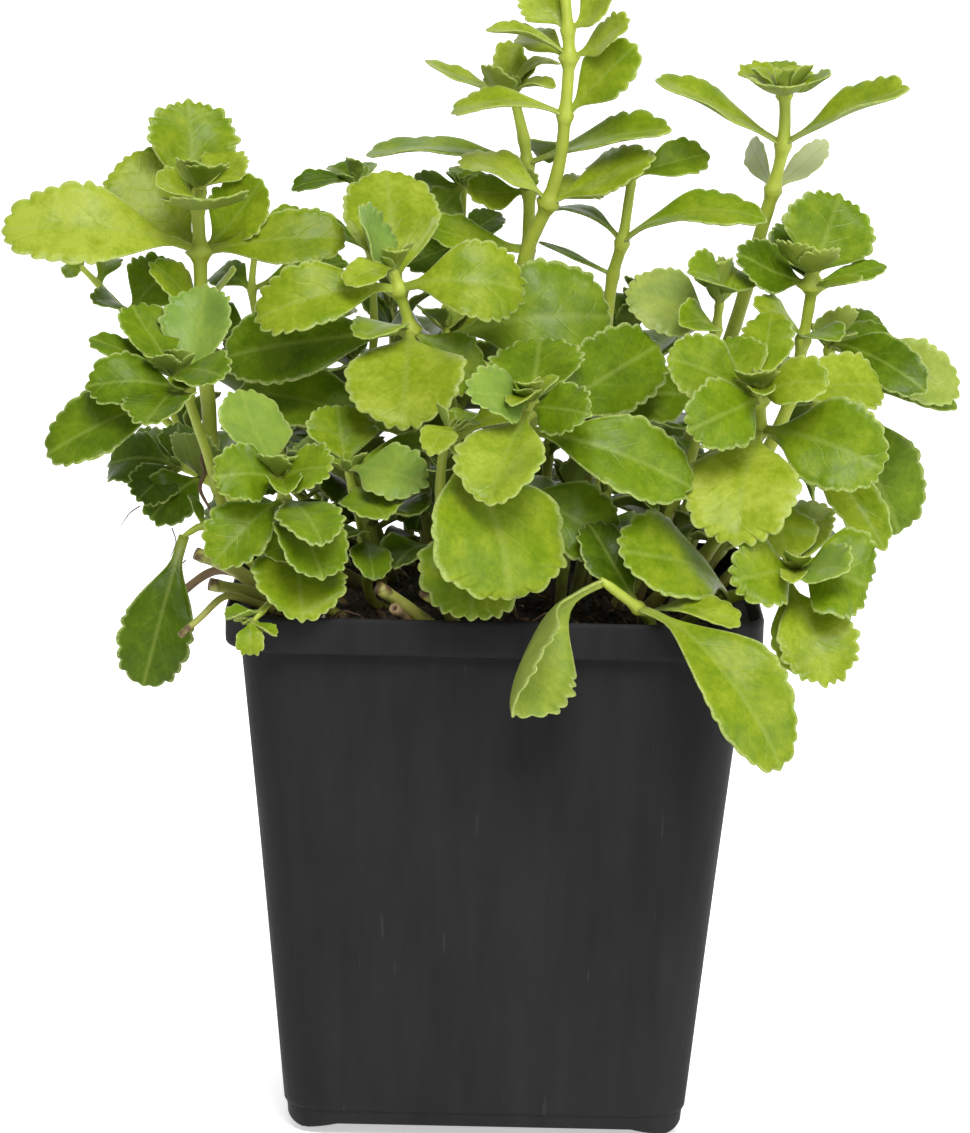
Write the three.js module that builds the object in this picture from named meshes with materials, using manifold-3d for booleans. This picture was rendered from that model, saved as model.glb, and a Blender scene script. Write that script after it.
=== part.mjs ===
// Potted two-row stonecrop: a square nursery pot, its potting mix and the shoots that grow in it.
// Millimetres, +Z up. The origin is the centre of the pot's flat foot, and the pot's front faces -Y.
import * as THREE from "three";
import { mergeVertices } from "three/addons/utils/BufferGeometryUtils.js";
import Module from "manifold-3d";

const wasm = await Module();
wasm.setup();

// Pot
const RIM_WIDTH = 90;
const POT_HEIGHT = 91;
const RIM_BAND = 6.2;
const BODY_TOP_WIDTH = 84.8;
const BODY_BASE_WIDTH = 67.8;
const WALL = 1;
const RIM_CORNER = 11;
const BASE_CORNER = 9;
const FOOT_WIDTH = 48;
const FOOT_DEPTH = 2;
const FOOT_CORNER = 6;
const CORNER_DROP = 1.4;
const CREASE_HEIGHT = 2.4;
const CREASE_STEP = 0.4;
const DRAIN_DIAMETER = 5.5;

// Potting mix
const SOIL_BELOW_RIM = 4;
const SOIL_MOUND = 2.2;
const SOIL_HOLLOW = 6;
const ROOT_DEPTH = 7;

// Shoots
const CLEARANCE = 0.3;
const STEM_SIDES = 5;
const STEM_TAPER = 0.35;
const LEAF_THICKNESS = 1.3;
const STALK_INSIDE = 0.4;
const STEM_PAST_LEAVES = 0.8;
const SHORTER = [1, 0.9, 0.8, 0.7, 0.6, 0.5, 0.4];
const PETIOLE_WIDTH = 1.3;
const REGULAR_STEM = 2.2;
const PAIRS = 5;
const PAIR_SPACING = 0.17;
const LEAF_WIDTH_SHARE = 0.6;
const LEAN_LATE = 1.15;
const RISE_EARLY = 0.85;

// The layout of the plant is given as it is seen in a picture of 970 x 1133 points, from an eye in
// front of the pot. Each place is across, down and how far back it lies: the last is its Y in mm.
const PICTURE_CENTRE = [485, 566.5];
const EYE = new THREE.Vector3(-1.8, -945, 246);
const PITCH = THREE.MathUtils.degToRad(9.2);
const TILT = THREE.MathUtils.degToRad(1.2);
const FOCAL_POINTS = 5538;

// Each shoot has a foot in the potting mix (X, Y in mm), the places that its stem passes through, its
// thickness at the foot in mm, and its leaves. A leaf is the number of the stem place that it grows
// from, its tip (across, down, back), its width and arch in mm, its roll in degrees towards the eye
// and its cup, which is how far the margins rise, as a share of half its width.
const SHOOTS = [
  {
    name: "shoot_tall_centre",
    foot: [6, 6],
    stem: [
      [505, 480, 6],
      [512, 360, 6],
      [525, 258, 6],
      [548, 203, 4],
      [560, 160, 2],
      [565, 116, 0],
      [569, 58, 0],
      [568, 30, 0],
      [563, -28, 0],
    ],
    thick: 2.9,
    leaves: [
      [3, 460, 160, 2, 9.5, 2, 30, 0.2],
      [3, 650, 156, -2, 10, 0, 42, 0.15],
      [3, 600, 186, 12, 7, 1, 30, 0.1],
      [5, 634, 46, -4, 9, 0, 75, 0.15],
      [5, 452, 108, -4, 7, 2, 25, 0.2],
      [6, 626, 20, -6, 7, -1, 50, 0.3],
      [6, 488, 30, -2, 5, 1.5, 10, 0.3],
      [6, 520, 34, 12, 6, 1, 40, 0.1],
      [7, 528, -20, 2, 9, -1, 60, 0.3],
      [7, 610, -8, -4, 7.5, -1, 60, 0.3],
      [8, 552, -58, -6, 7, -1, 0, 0.4],
      [8, 578, -54, 8, 7, -1, 0, 0.4],
      [8, 545, -44, 7, 6, 0, 0, 0.4],
    ],
  },
  {
    name: "shoot_tall_left_of_centre",
    foot: [1, 14],
    stem: [
      [512, 440, 14],
      [522, 330, 13],
      [528, 250, 11],
      [529, 190, 10],
      [527, 164, 10],
      [524, 140, 10],
      [513, 92, 9],
    ],
    thick: 2.8,
    leaves: [
      [2, 425, 226, 5, 7, -1, 55, 0.2],
      [3, 470, 190, 4, 7, -1, 50, 0.2],
      [3, 517, 146, 3, 7, -1, 0, 0.1],
      [4, 667, 124, -4, 7.5, 0.5, 28, 0.35],
      [4, 366, 150, 12, 8.5, 1.5, 18, 0.2],
      [5, 550, 160, 20, 6, 1, 0, 0.1],
      [6, 426, 60, 12, 5, -1, 10, 0.3],
      [6, 509, 42, 15, 6, -1, 0, 0.2],
      [6, 490, 66, 2, 6.5, -1, 0, 0.2],
      [6, 560, 60, 12, 3.5, 2, 5, 0.3],
      [6, 555, 87, 2, 3.5, 1, 20, 0.3],
    ],
  },
  {
    name: "shoot_slender_right_of_centre",
    foot: [15, 10],
    stem: [
      [590, 440, 10],
      [606, 330, 9],
      [613, 275, 8],
      [622, 243, 6],
      [628, 205, 5],
      [632, 177, 5],
    ],
    thick: 2.6,
    leaves: [
      [3, 545, 208, 16, 5, 2.5, 10, 0.2],
      [3, 764, 214, -3, 8, 3.5, 32, 0.25],
      [5, 708, 154, 8, 7, 1, 55, 0.2],
      [5, 592, 160, 14, 6, 1, 40, 0.2],
      [5, 640, 150, 13, 6, 0, 0, 0.2],
      [2, 540, 240, 18, 2.5, 0, 0, 0],
    ],
  },
  {
    name: "shoot_tall_right",
    foot: [24, 12],
    stem: [
      [690, 440, 12],
      [728, 345, 10],
      [747, 285, 8],
      [760, 235, 6],
      [773, 190, 4],
      [783, 145, 2],
      [785, 108, 0],
      [784, 90, 0],
    ],
    thick: 3,
    leaves: [
      [4, 748, 138, 18, 4.5, 0, 60, 0.2],
      [4, 828, 142, 18, 4.5, 0, 60, 0.2],
      [5, 660, 77, -4, 8, 0.3, 35, 0.3],
      [5, 905, 88, -8, 8.5, 0.6, 30, 0.35],
      [7, 748, 64, 6, 8.5, -1, 10, 0.3],
      [7, 776, 60, 12, 9.5, -1, 0, 0.1],
      [7, 800, 66, 6, 7, -1, 10, 0.2],
      [7, 830, 74, -4, 6, -1, 30, 0.3],
      [7, 757, 80, -8, 6, -1, 10, 0.3],
      [7, 786, 84, -10, 7, -1, 0, 0.3],
    ],
  },
  {
    name: "shoot_upper_left",
    foot: [-20, 4],
    stem: [
      [225, 500, 4],
      [208, 400, 4],
      [202, 320, 4],
      [200, 252, 4],
      [198, 205, 5],
      [200, 186, 5],
    ],
    thick: 3.2,
    leaves: [
      [2, 232, 268, -4, 4.5, 0, 50, 0.2],
      [2, 152, 264, 2, 8, 1, 40, 0.2],
      [3, 2, 230, -6, 15, 4, 55, 0.25],
      [3, 345, 234, 0, 10.5, 1, 60, 0.2],
      [3, 126, 158, 12, 16.5, -1, 50, 0.15],
      [3, 262, 180, 4, 12, -2, 60, 0.35],
      [4, 189, 102, 14, 15.5, -2, 0, 0.2],
      [4, 158, 184, -8, 7, 1, 40, 0.3],
      [5, 208, 196, -13, 14, -3, 0, 0.35],
      [5, 240, 152, 10, 9.5, -1, 20, 0.2],
      [5, 212, 166, -3, 7, 0, 0, 0.4],
      [5, 182, 160, 1, 6, 0, 0, 0.4],
    ],
  },
  {
    name: "shoot_thin_far_left",
    foot: [-28, 14],
    stem: [
      [200, 470, 15],
      [160, 380, 16],
      [127, 316, 18],
      [98, 284, 19],
      [78, 264, 20],
    ],
    thick: 1.5,
    leaves: [
      [4, 62, 250, 24, 3, 0, 20, 0.3],
      [4, 66, 276, 14, 3, 0, 20, 0.3],
      [3, 112, 256, 28, 4.5, 1, 20, 0.3],
      [2, 96, 300, 8, 6, 1, 30, 0.3],
      [2, 178, 262, 22, 11, 1, 50, 0.3],
      [1, 104, 372, 24, 9.5, 2, 30, 0.3],
    ],
  },
  {
    name: "shoot_behind_left",
    foot: [-14, 20],
    stem: [
      [270, 460, 21],
      [262, 350, 22],
      [252, 290, 22],
      [256, 244, 23],
    ],
    thick: 1.7,
    leaves: [
      [1, 176, 322, 30, 10.5, 2, 30, 0.3],
      [1, 350, 300, 34, 10.5, 2, 30, 0.3],
      [2, 346, 262, 18, 7, 1, 50, 0.2],
      [2, 214, 272, 28, 7, 1, 30, 0.2],
      [3, 304, 212, 24, 6, 1, 40, 0.2],
      [3, 246, 208, 26, 4.5, 0, 10, 0.2],
      [3, 236, 228, 14, 4.5, 0, 10, 0.2],
      [3, 270, 224, 32, 4.5, 0, 10, 0.2],
    ],
  },
  {
    name: "shoot_behind_left_of_centre",
    foot: [-6, 22],
    stem: [
      [370, 440, 24],
      [374, 330, 26],
      [370, 250, 27],
      [356, 182, 27],
    ],
    thick: 1.8,
    leaves: [
      [1, 300, 392, 40, 12, 2, 20, 0.3],
      [1, 446, 356, 38, 12, 2, 20, 0.3],
      [2, 295, 208, 26, 4.5, 0, 40, 0.3],
      [2, 440, 236, 38, 9.5, 2, 30, 0.3],
      [3, 293, 188, 24, 4.5, 1, 30, 0.3],
      [3, 330, 166, 32, 4.5, 0, 10, 0.3],
      [3, 352, 158, 24, 3.5, 0, 10, 0.3],
      [3, 372, 162, 34, 3.5, 0, 10, 0.3],
    ],
  },
  {
    name: "shoot_small_behind_centre",
    foot: [-4, 30],
    stem: [
      [460, 420, 24],
      [462, 320, 22],
      [462, 240, 20],
      [464, 184, 20],
    ],
    thick: 1.7,
    leaves: [
      [0, 488, 338, 18, 12, 1, 0, 0.2],
      [1, 530, 372, 36, 10.5, 2, 20, 0.3],
      [2, 408, 262, 16, 8.5, -1, 40, 0.3],
      [2, 500, 214, 28, 6, 0, 30, 0.3],
      [3, 416, 180, 16, 6, -1, 40, 0.3],
      [3, 436, 214, 12, 7, -1, 50, 0.2],
      [3, 477, 168, 22, 3.5, 0, 10, 0.3],
      [3, 456, 166, 26, 3.5, 0, 10, 0.3],
    ],
  },
  {
    name: "shoot_centre_left",
    foot: [-9, -4],
    stem: [
      [430, 540, -4],
      [420, 440, -7],
      [410, 330, -12],
      [399, 290, -13],
      [392, 268, -14],
    ],
    thick: 2.6,
    leaves: [
      [2, 403, 424, -32, 20, 2, 0, 0.3],
      [2, 478, 386, -14, 10.5, 1, 50, 0.3],
      [1, 236, 386, 0, 12, 2, 50, 0.2],
      [1, 322, 404, 2, 11, 1, 30, 0.2],
      [2, 224, 356, -8, 14, 1, 60, 0.25],
      [2, 362, 336, -26, 8.5, 1, 0, 0.2],
      [3, 526, 290, -16, 14, 4, 60, 0.15],
      [3, 257, 318, -20, 12, 4, 55, 0.2],
      [3, 387, 168, 4, 16.5, -2, 0, 0.15],
      [3, 364, 206, -12, 12, -1, 10, 0.15],
      [4, 347, 282, -24, 6, 1, 30, 0.2],
      [4, 398, 250, -18, 4.5, 0, 0, 0.4],
    ],
  },
  {
    name: "shoot_middle",
    foot: [-1, -2],
    stem: [
      [468, 540, -4],
      [456, 440, -6],
      [446, 340, 0],
      [446, 326, 1],
    ],
    thick: 2.2,
    leaves: [
      [2, 612, 316, -3, 20, 4, 62, 0.15],
      [1, 560, 396, 2, 10.5, 2, 30, 0.3],
      [2, 470, 300, 4, 8.5, -1, 10, 0.3],
      [3, 424, 306, -14, 4.5, 0, 10, 0.3],
    ],
  },
  {
    name: "rosette_left",
    foot: [-25, -12],
    stem: [
      [236, 530, -14],
      [206, 450, -20],
      [186, 392, -24],
      [178, 374, -25],
    ],
    thick: 2.2,
    leaves: [
      [2, 46, 452, -28, 12, 1.5, 55, 0.2],
      [2, 88, 384, -30, 10.5, 2, 55, 0.2],
      [2, 146, 421, -40, 12, 1, 0, 0.3],
      [2, 205, 286, -14, 12, -1, 0, 0.55],
      [3, 132, 304, -16, 10.5, -1, 20, 0.3],
      [3, 222, 376, -36, 9.5, 1, 30, 0.25],
      [3, 90, 338, -20, 6, 0, 40, 0.2],
      [3, 150, 356, -30, 6, 0, 0, 0.35],
      [3, 174, 350, -28, 4.5, 0, 0, 0.4],
      [3, 184, 388, -34, 4.5, 0, 0, 0.4],
    ],
  },
  {
    name: "shoot_low_left",
    foot: [-28, 0],
    stem: [
      [228, 496, 0],
      [204, 478, 0],
      [180, 466, 0],
    ],
    thick: 1.8,
    leaves: [
      [1, 150, 518, -8, 9.5, 2, 40, 0.2],
      [1, 186, 430, -9, 8.5, -1, 0, 0.3],
      [2, 108, 464, 4, 10.5, 2, 50, 0.2],
      [2, 138, 500, -8, 8.5, 1, 40, 0.2],
      [2, 178, 424, 6, 7, -1, 0, 0.4],
      [2, 130, 440, 12, 7, 1, 40, 0.3],
    ],
  },
  {
    name: "rosette_front_left",
    foot: [-24, -26],
    stem: [
      [302, 590, -30],
      [292, 545, -34],
      [284, 500, -38],
      [280, 478, -39],
    ],
    thick: 2.2,
    leaves: [
      [1, 302, 618, -49, 15.5, 2, 0, 0.2],
      [1, 268, 552, -44, 6, 1, 50, 0.2],
      [2, 214, 562, -46, 10.5, 2, 40, 0.25],
      [2, 322, 577, -52, 13, 1, 0, 0.25],
      [2, 322, 538, -56, 10.5, 1, 0, 0.3],
      [3, 240, 391, -30, 13, -1, 0, 0.2],
      [3, 216, 476, -46, 10.5, 1, 60, 0.25],
      [3, 331, 468, -46, 9.5, 1, 60, 0.25],
      [3, 268, 456, -44, 6, 0, 0, 0.45],
      [3, 292, 456, -42, 6, 0, 0, 0.45],
      [3, 286, 492, -50, 6, 0, 0, 0.45],
    ],
  },
  {
    name: "rosette_front_left_inner",
    foot: [-16, -18],
    stem: [
      [372, 600, -22],
      [364, 540, -26],
      [352, 488, -29],
      [348, 468, -30],
    ],
    thick: 2,
    leaves: [
      [1, 374, 578, -38, 7, 1, 0, 0.2],
      [1, 346, 534, -36, 4.5, 1, 10, 0.2],
      [2, 386, 518, -42, 10.5, 1, 20, 0.25],
      [3, 337, 405, -22, 12, -1, 0, 0.25],
      [3, 424, 482, -40, 10.5, 1, 50, 0.35],
      [3, 442, 434, -20, 4.5, 0, 40, 0.3],
      [3, 302, 440, -18, 7, 1, 40, 0.3],
    ],
  },
  {
    name: "rosette_centre",
    foot: [3, -22],
    stem: [
      [500, 560, -26],
      [506, 490, -30],
      [520, 430, -36],
      [530, 408, -38],
      [533, 398, -39],
    ],
    thick: 2.6,
    leaves: [
      [1, 470, 618, -47, 19, 3, 0, 0.15],
      [1, 614, 545, -36, 13, 2, 50, 0.15],
      [2, 660, 344, -16, 14, 1, 60, 0.15],
      [2, 691, 486, -40, 16.5, 4, 60, 0.2],
      [3, 489, 501, -58, 14, 1, 0, 0.3],
      [3, 470, 392, -48, 10.5, 1, 60, 0.2],
      [3, 540, 338, -26, 15.5, -1, 0, 0.3],
      [3, 588, 414, -48, 9.5, 1, 60, 0.15],
      [4, 524, 382, -44, 4.5, 0, 0, 0.4],
      [4, 512, 402, -48, 4.5, 0, 0, 0.4],
    ],
  },
  {
    name: "shoot_large_front_leaf",
    foot: [-6, -28],
    stem: [
      [446, 560, -32],
      [440, 490, -37],
      [446, 440, -40],
      [452, 428, -40],
    ],
    thick: 2.2,
    leaves: [
      [2, 512, 598, -55, 27, 3, 0, 0.12],
      [3, 470, 410, -30, 4.5, 0, 10, 0.3],
      [3, 430, 452, -48, 6, 1, 10, 0.3],
    ],
  },
  {
    name: "shoot_folded_right_of_centre",
    foot: [20, -4],
    stem: [
      [676, 500, -6],
      [706, 400, -7],
      [716, 330, -9],
      [720, 300, -9],
    ],
    thick: 2.2,
    leaves: [
      [2, 627, 292, -14, 13, 2, 60, 0.1],
      [1, 606, 402, -14, 13, 2, 50, 0.2],
      [3, 722, 262, -10, 8, 1, 20, 0.4],
      [3, 690, 272, -18, 9, 2, 50, 0.4],
      [3, 738, 268, -2, 8, 1, 40, 0.4],
      [2, 682, 322, -22, 7, 1, 40, 0.3],
    ],
  },
  {
    name: "rosette_right",
    foot: [24, -14],
    stem: [
      [716, 540, -16],
      [744, 470, -20],
      [760, 430, -24],
      [759, 400, -28],
      [757, 390, -29],
    ],
    thick: 2.6,
    leaves: [
      [2, 735, 541, -44, 19, 3, 0, 0.2],
      [2, 883, 468, -36, 15.5, 3, 55, 0.2],
      [2, 814, 492, -18, 10.5, 2, 50, 0.2],
      [3, 690, 430, -44, 12, 2, 60, 0.15],
      [3, 882, 386, -16, 10.5, 2, 50, 0.2],
      [3, 828, 382, -36, 9.5, 2, 55, 0.25],
      [3, 668, 358, -36, 12, 1, 60, 0.25],
      [4, 716, 334, -18, 12, -1, 20, 0.2],
      [4, 772, 312, -14, 8.5, -1, 0, 0.1],
      [4, 749, 372, -36, 6, 0, 0, 0.45],
      [4, 768, 370, -34, 4.5, 0, 0, 0.45],
      [4, 764, 394, -40, 4.5, 0, 0, 0.45],
    ],
  },
  {
    name: "rosette_upper_right",
    foot: [30, 0],
    stem: [
      [752, 480, 0],
      [790, 400, 0],
      [803, 340, -1],
      [812, 285, -3],
      [812, 270, -4],
    ],
    thick: 2.7,
    leaves: [
      [2, 838, 338, -12, 7, 1, 20, 0.2],
      [2, 744, 294, -14, 8, 1, 45, 0.2],
      [3, 840, 197, 2, 16, -1, 60, 0.15],
      [3, 796, 222, 8, 12, -1, 0, 0.2],
      [1, 764, 306, -4, 9, -1, 30, 0.2],
      [3, 733, 250, -8, 10.5, -1, 55, 0.25],
      [3, 860, 280, -14, 4.5, 0, 30, 0.2],
      [3, 886, 266, 2, 4.5, 0, 30, 0.2],
      [4, 790, 242, -10, 9.5, -1, 0, 0.3],
      [4, 824, 250, -12, 7, -1, 0, 0.3],
      [4, 806, 252, 4, 7, -1, 0, 0.3],
    ],
  },
  {
    name: "shoot_far_right",
    foot: [34, 6],
    stem: [
      [776, 520, 8],
      [806, 440, 8],
      [824, 380, 6],
      [830, 345, 5],
    ],
    thick: 2.4,
    leaves: [
      [2, 902, 534, 4, 17, 1, 65, 0.1],
      [1, 884, 545, -6, 8.5, 2, 40, 0.3],
      [2, 956, 406, 8, 7, 2, 40, 0.3],
      [3, 958, 392, 0, 10.5, 1, 55, 0.25],
      [3, 924, 388, -12, 9.5, 3, 45, 0.25],
      [3, 840, 292, -4, 11, -1, 20, 0.15],
      [3, 892, 336, 10, 6, 1, 40, 0.2],
      [3, 880, 316, 14, 6, 0, 40, 0.3],
    ],
  },
  {
    name: "rosette_front_right",
    foot: [29, -24],
    stem: [
      [728, 598, -26],
      [762, 592, -30],
      [786, 582, -34],
      [796, 570, -36],
    ],
    thick: 2.2,
    leaves: [
      [0, 622, 552, -44, 16.5, 3, 50, 0.15],
      [2, 834, 680, -46, 13, 2, 30, 0.25],
      [2, 796, 672, -42, 6, 1, 30, 0.3],
      [3, 870, 588, -40, 17.5, 3, 55, 0.15],
      [3, 736, 580, -46, 12, 1, 60, 0.15],
      [3, 774, 504, -26, 12, -1, 0, 0.2],
      [3, 814, 498, -14, 8.5, -1, 10, 0.2],
      [3, 846, 568, -48, 9.5, 0, 40, 0.45],
      [3, 798, 556, -44, 4.5, 0, 0, 0.45],
      [3, 792, 580, -46, 4.5, 0, 0, 0.45],
    ],
  },
  {
    name: "shoot_over_front_rim",
    foot: [20, -34],
    stem: [
      [650, 632, -37],
      [646, 614, -40],
      [638, 608, -43],
      [604, 582, -46],
    ],
    thick: 2.4,
    leaves: [
      [1, 740, 624, -47, 7, 2, 20, 0.3],
      [3, 537, 716, -57, 15, 5, 15, 0.3],
      [2, 780, 768, -58, 15, 6, 25, 0.2],
      [2, 584, 514, -36, 10.5, 0, 30, 0.2],
    ],
  },
  {
    name: "shoot_hanging_left",
    foot: [-32, -12],
    stem: [
      [236, 552, -15],
      [204, 526, -16],
      [184, 536, -17],
    ],
    thick: 1.7,
    leaves: [
      [2, 143, 686, -22, 12, 2, 50, 0.2],
      [1, 190, 494, -14, 3, 0, 0, 0.3],
    ],
  },
  {
    name: "shoot_tiny_over_rim",
    foot: [-31, -36],
    stem: [
      [275, 604, -40],
      [262, 611, -46.5],
      [252, 622, -48],
    ],
    thick: 1.4,
    leaves: [
      [1, 226, 618, -50, 4.5, 0, 0, 0.4],
      [2, 250, 655, -51, 4.5, 1, 0, 0.3],
      [2, 276, 634, -50, 3, 0, 0, 0.3],
    ],
  },
];

// Shoots that carry no leaf: cut stubs and thin old stems. Each has a foot in the potting mix, the
// places that it passes through and its thickness.
const STUBS = [
  { name: "cut_stem_left", foot: [-33, -20], stem: [[240, 573, -22], [200, 555, -24]], thick: 3 },
  { name: "cut_stem_left_low", foot: [-30, -26], stem: [[258, 595, -29], [214, 585, -31]], thick: 3 },
  { name: "old_stem_left", foot: [-34, -13], stem: [[222, 570, -13], [168, 603, -11]], thick: 2.1 },
  {
    name: "thin_stem_over_left_rim",
    foot: [-29, -32],
    stem: [[252, 602, -34], [226, 596, -35], [200, 618, -37], [183, 633, -38]],
    thick: 1.6,
  },
  { name: "cut_stem_front", foot: [-8, -36], stem: [[402, 604, -38], [382, 590, -40]], thick: 3 },
  { name: "hollow_old_stub", foot: [-13, -38], stem: [[404, 618, -40], [396, 610, -42]], thick: 2.4 },
  { name: "twig_front", foot: [-5, -38], stem: [[446, 609, -39], [426, 594, -41]], thick: 2.6 },
];

// Shoots that the picture hardly shows, with the head of each as X, Y and Z in mm, the turn of its
// topmost pair of leaves in degrees and the length of its longest leaves.
const REGULAR_SHOOTS = [
  { name: "shoot_back_left", foot: [-29, 24], head: [-48, 38, 124], turn: 20, length: 24 },
  { name: "shoot_back_left_inner", foot: [-15, 33], head: [-20, 50, 132], turn: 60, length: 24 },
  { name: "shoot_back_centre", foot: [2, 35], head: [4, 62, 120], turn: 10, length: 24 },
  { name: "shoot_back_rim_centre", foot: [-9, 36], head: [-9, 62, 104], turn: 50, length: 25 },
  { name: "shoot_back_right_inner", foot: [16, 30], head: [24, 48, 133], turn: 35, length: 23 },
  { name: "shoot_back_right", foot: [31, 24], head: [48, 42, 122], turn: 70, length: 23 },
  { name: "shoot_inner_back", foot: [8, 18], head: [10, 22, 130], turn: 50, length: 22 },
  { name: "shoot_inner_back_left", foot: [-22, 26], head: [-26, 26, 126], turn: 75, length: 25 },
  { name: "shoot_inner_left", foot: [-17, 10], head: [-32, 8, 118], turn: 30, length: 22 },
  { name: "shoot_inner_right", foot: [13, -8], head: [22, -4, 116], turn: 75, length: 22 },
  { name: "shoot_low_inner_left", foot: [-19, -4], head: [-25, 0, 111], turn: 20, length: 20 },
  { name: "shoot_low_inner_centre", foot: [-8, -13], head: [-9, -11, 112], turn: 65, length: 20 },
  { name: "shoot_low_inner_right", foot: [11, -15], head: [13, -13, 111], turn: 30, length: 20 },
  { name: "shoot_low_inner_back", foot: [-12, 6], head: [-13, 13, 120], turn: 80, length: 22 },
  { name: "shoot_low_right", foot: [22, 3], head: [38, 4, 110], turn: 40, length: 20 },
  { name: "shoot_side_left", foot: [-33, 18], head: [-60, 30, 114], turn: 45, length: 21 },
  { name: "shoot_side_right", foot: [32, 14], head: [60, 26, 116], turn: 0, length: 21 },
  { name: "shoot_back_rim_left", foot: [-26, 31], head: [-38, 62, 105], turn: 22, length: 24 },
  { name: "shoot_back_rim_right", foot: [24, 31], head: [34, 63, 105], turn: 22, length: 24 },
];

function at([across, down, back]) {
  const right = across - PICTURE_CENTRE[0];
  const below = down - PICTURE_CENTRE[1];
  const x = (right * Math.cos(TILT) + below * Math.sin(TILT)) / FOCAL_POINTS;
  const y = (below * Math.cos(TILT) - right * Math.sin(TILT)) / FOCAL_POINTS;
  const ray = new THREE.Vector3(
    x,
    Math.cos(PITCH) - y * Math.sin(PITCH),
    -Math.sin(PITCH) - y * Math.cos(PITCH),
  );
  return ray.multiplyScalar((back - EYE.y) / ray.y).add(EYE);
}

// A closed body through rings of points, each ring counter-clockwise as seen from the end it leads to.
function loft(rings) {
  const count = rings[0].length;
  const points = rings.flat();
  const top = points.length - count;
  const faces = [];
  for (let i = 0; i < count; i++) {
    const next = (i + 1) % count;
    for (let low = 0; low < top; low += count) {
      faces.push(low + i, low + next, low + count + next);
      faces.push(low + i, low + count + next, low + count + i);
    }
  }
  for (let i = 1; i < count - 1; i++) {
    faces.push(0, i + 1, i);
    faces.push(top, top + i, top + i + 1);
  }
  const geometry = new THREE.BufferGeometry().setFromPoints(points);
  geometry.setIndex(faces);
  return geometry;
}

function solid(geometry) {
  geometry.deleteAttribute("normal");
  geometry.deleteAttribute("uv");
  const merged = mergeVertices(geometry, 1e-3);
  return new wasm.Manifold(
    new wasm.Mesh({
      numProp: 3,
      vertProperties: merged.attributes.position.array,
      triVerts: new Uint32Array(merged.index.array),
    }),
  );
}

function named(name, body, material) {
  const { vertProperties, triVerts } = body.getMesh();
  const geometry = new THREE.BufferGeometry();
  geometry.setAttribute("position", new THREE.BufferAttribute(new Float32Array(vertProperties), 3));
  geometry.setIndex([...triVerts]);
  geometry.computeVertexNormals();
  const mesh = new THREE.Mesh(geometry, material);
  mesh.name = name;
  return mesh;
}

// A square ring with round corners, flat or with its height given by a function of X and Y.
function squareRing(width, corner, height) {
  const steps = 3;
  const ring = [];
  for (let quarter = 0; quarter < 4; quarter++) {
    const turn = (quarter * Math.PI) / 2;
    const centre = new THREE.Vector2(width / 2 - corner, width / 2 - corner);
    for (let i = 0; i <= steps; i++) {
      const angle = (i / steps) * (Math.PI / 2);
      const point = new THREE.Vector2(Math.cos(angle), Math.sin(angle)).multiplyScalar(corner);
      point.add(centre).rotateAround(new THREE.Vector2(), turn);
      const z = typeof height === "function" ? height(point.x, point.y) : height;
      ring.push(new THREE.Vector3(point.x, point.y, z));
    }
  }
  return ring;
}

const bandBottom = POT_HEIGHT - RIM_BAND;

// Width and corner radius of the pot's outside below the rim band, at a height.
function bodyAt(z) {
  const share = (z - FOOT_DEPTH) / (bandBottom - FOOT_DEPTH);
  return {
    width: THREE.MathUtils.lerp(BODY_BASE_WIDTH, BODY_TOP_WIDTH, share),
    corner: THREE.MathUtils.lerp(BASE_CORNER, RIM_CORNER - 1, share),
  };
}

function bodyRing(z, inset) {
  const { width, corner } = bodyAt(z);
  return squareRing(width - 2 * inset, corner - inset, z);
}

// The bottom edge of the walls, which drops lower in the four corners.
function bottomEdge() {
  const middle = BODY_BASE_WIDTH / 2 - BASE_CORNER;
  const drop = (x) => THREE.MathUtils.clamp((Math.abs(x) - middle) / BASE_CORNER, 0, 0.7) / 0.7;
  const height = (x, y) => FOOT_DEPTH - CORNER_DROP * drop(x) * drop(y);
  return squareRing(BODY_BASE_WIDTH - 2 * CREASE_STEP, BASE_CORNER - CREASE_STEP, height);
}

function makePot() {
  const crease = FOOT_DEPTH + CREASE_HEIGHT;
  const floor = FOOT_DEPTH + WALL;
  const ledge = bandBottom + WALL;
  const shell = solid(
    loft([
      squareRing(FOOT_WIDTH, FOOT_CORNER, 0),
      squareRing(FOOT_WIDTH, FOOT_CORNER, FOOT_DEPTH),
      bottomEdge(),
      bodyRing(crease, CREASE_STEP),
      bodyRing(crease + CREASE_STEP, 0),
      bodyRing(bandBottom, 0),
      squareRing(RIM_WIDTH - 1, RIM_CORNER - 0.5, bandBottom),
      squareRing(RIM_WIDTH, RIM_CORNER, bandBottom + 1),
      squareRing(RIM_WIDTH, RIM_CORNER, POT_HEIGHT - 0.4),
      squareRing(RIM_WIDTH - 0.6, RIM_CORNER - 0.3, POT_HEIGHT),
      squareRing(RIM_WIDTH - 2 * WALL, RIM_CORNER - WALL, POT_HEIGHT),
      squareRing(RIM_WIDTH - 2 * WALL, RIM_CORNER - WALL, ledge + 0.6),
      squareRing(BODY_TOP_WIDTH - 2 * WALL, RIM_CORNER - 1 - WALL, ledge),
      bodyRing(floor, WALL + CREASE_STEP),
      squareRing(FOOT_WIDTH - 2 * WALL, FOOT_CORNER - WALL, floor),
      squareRing(FOOT_WIDTH - 2 * WALL, FOOT_CORNER - WALL, WALL),
    ]),
  );
  return drains().reduce((pot, hole) => pot.subtract(hole), shell);
}

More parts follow.
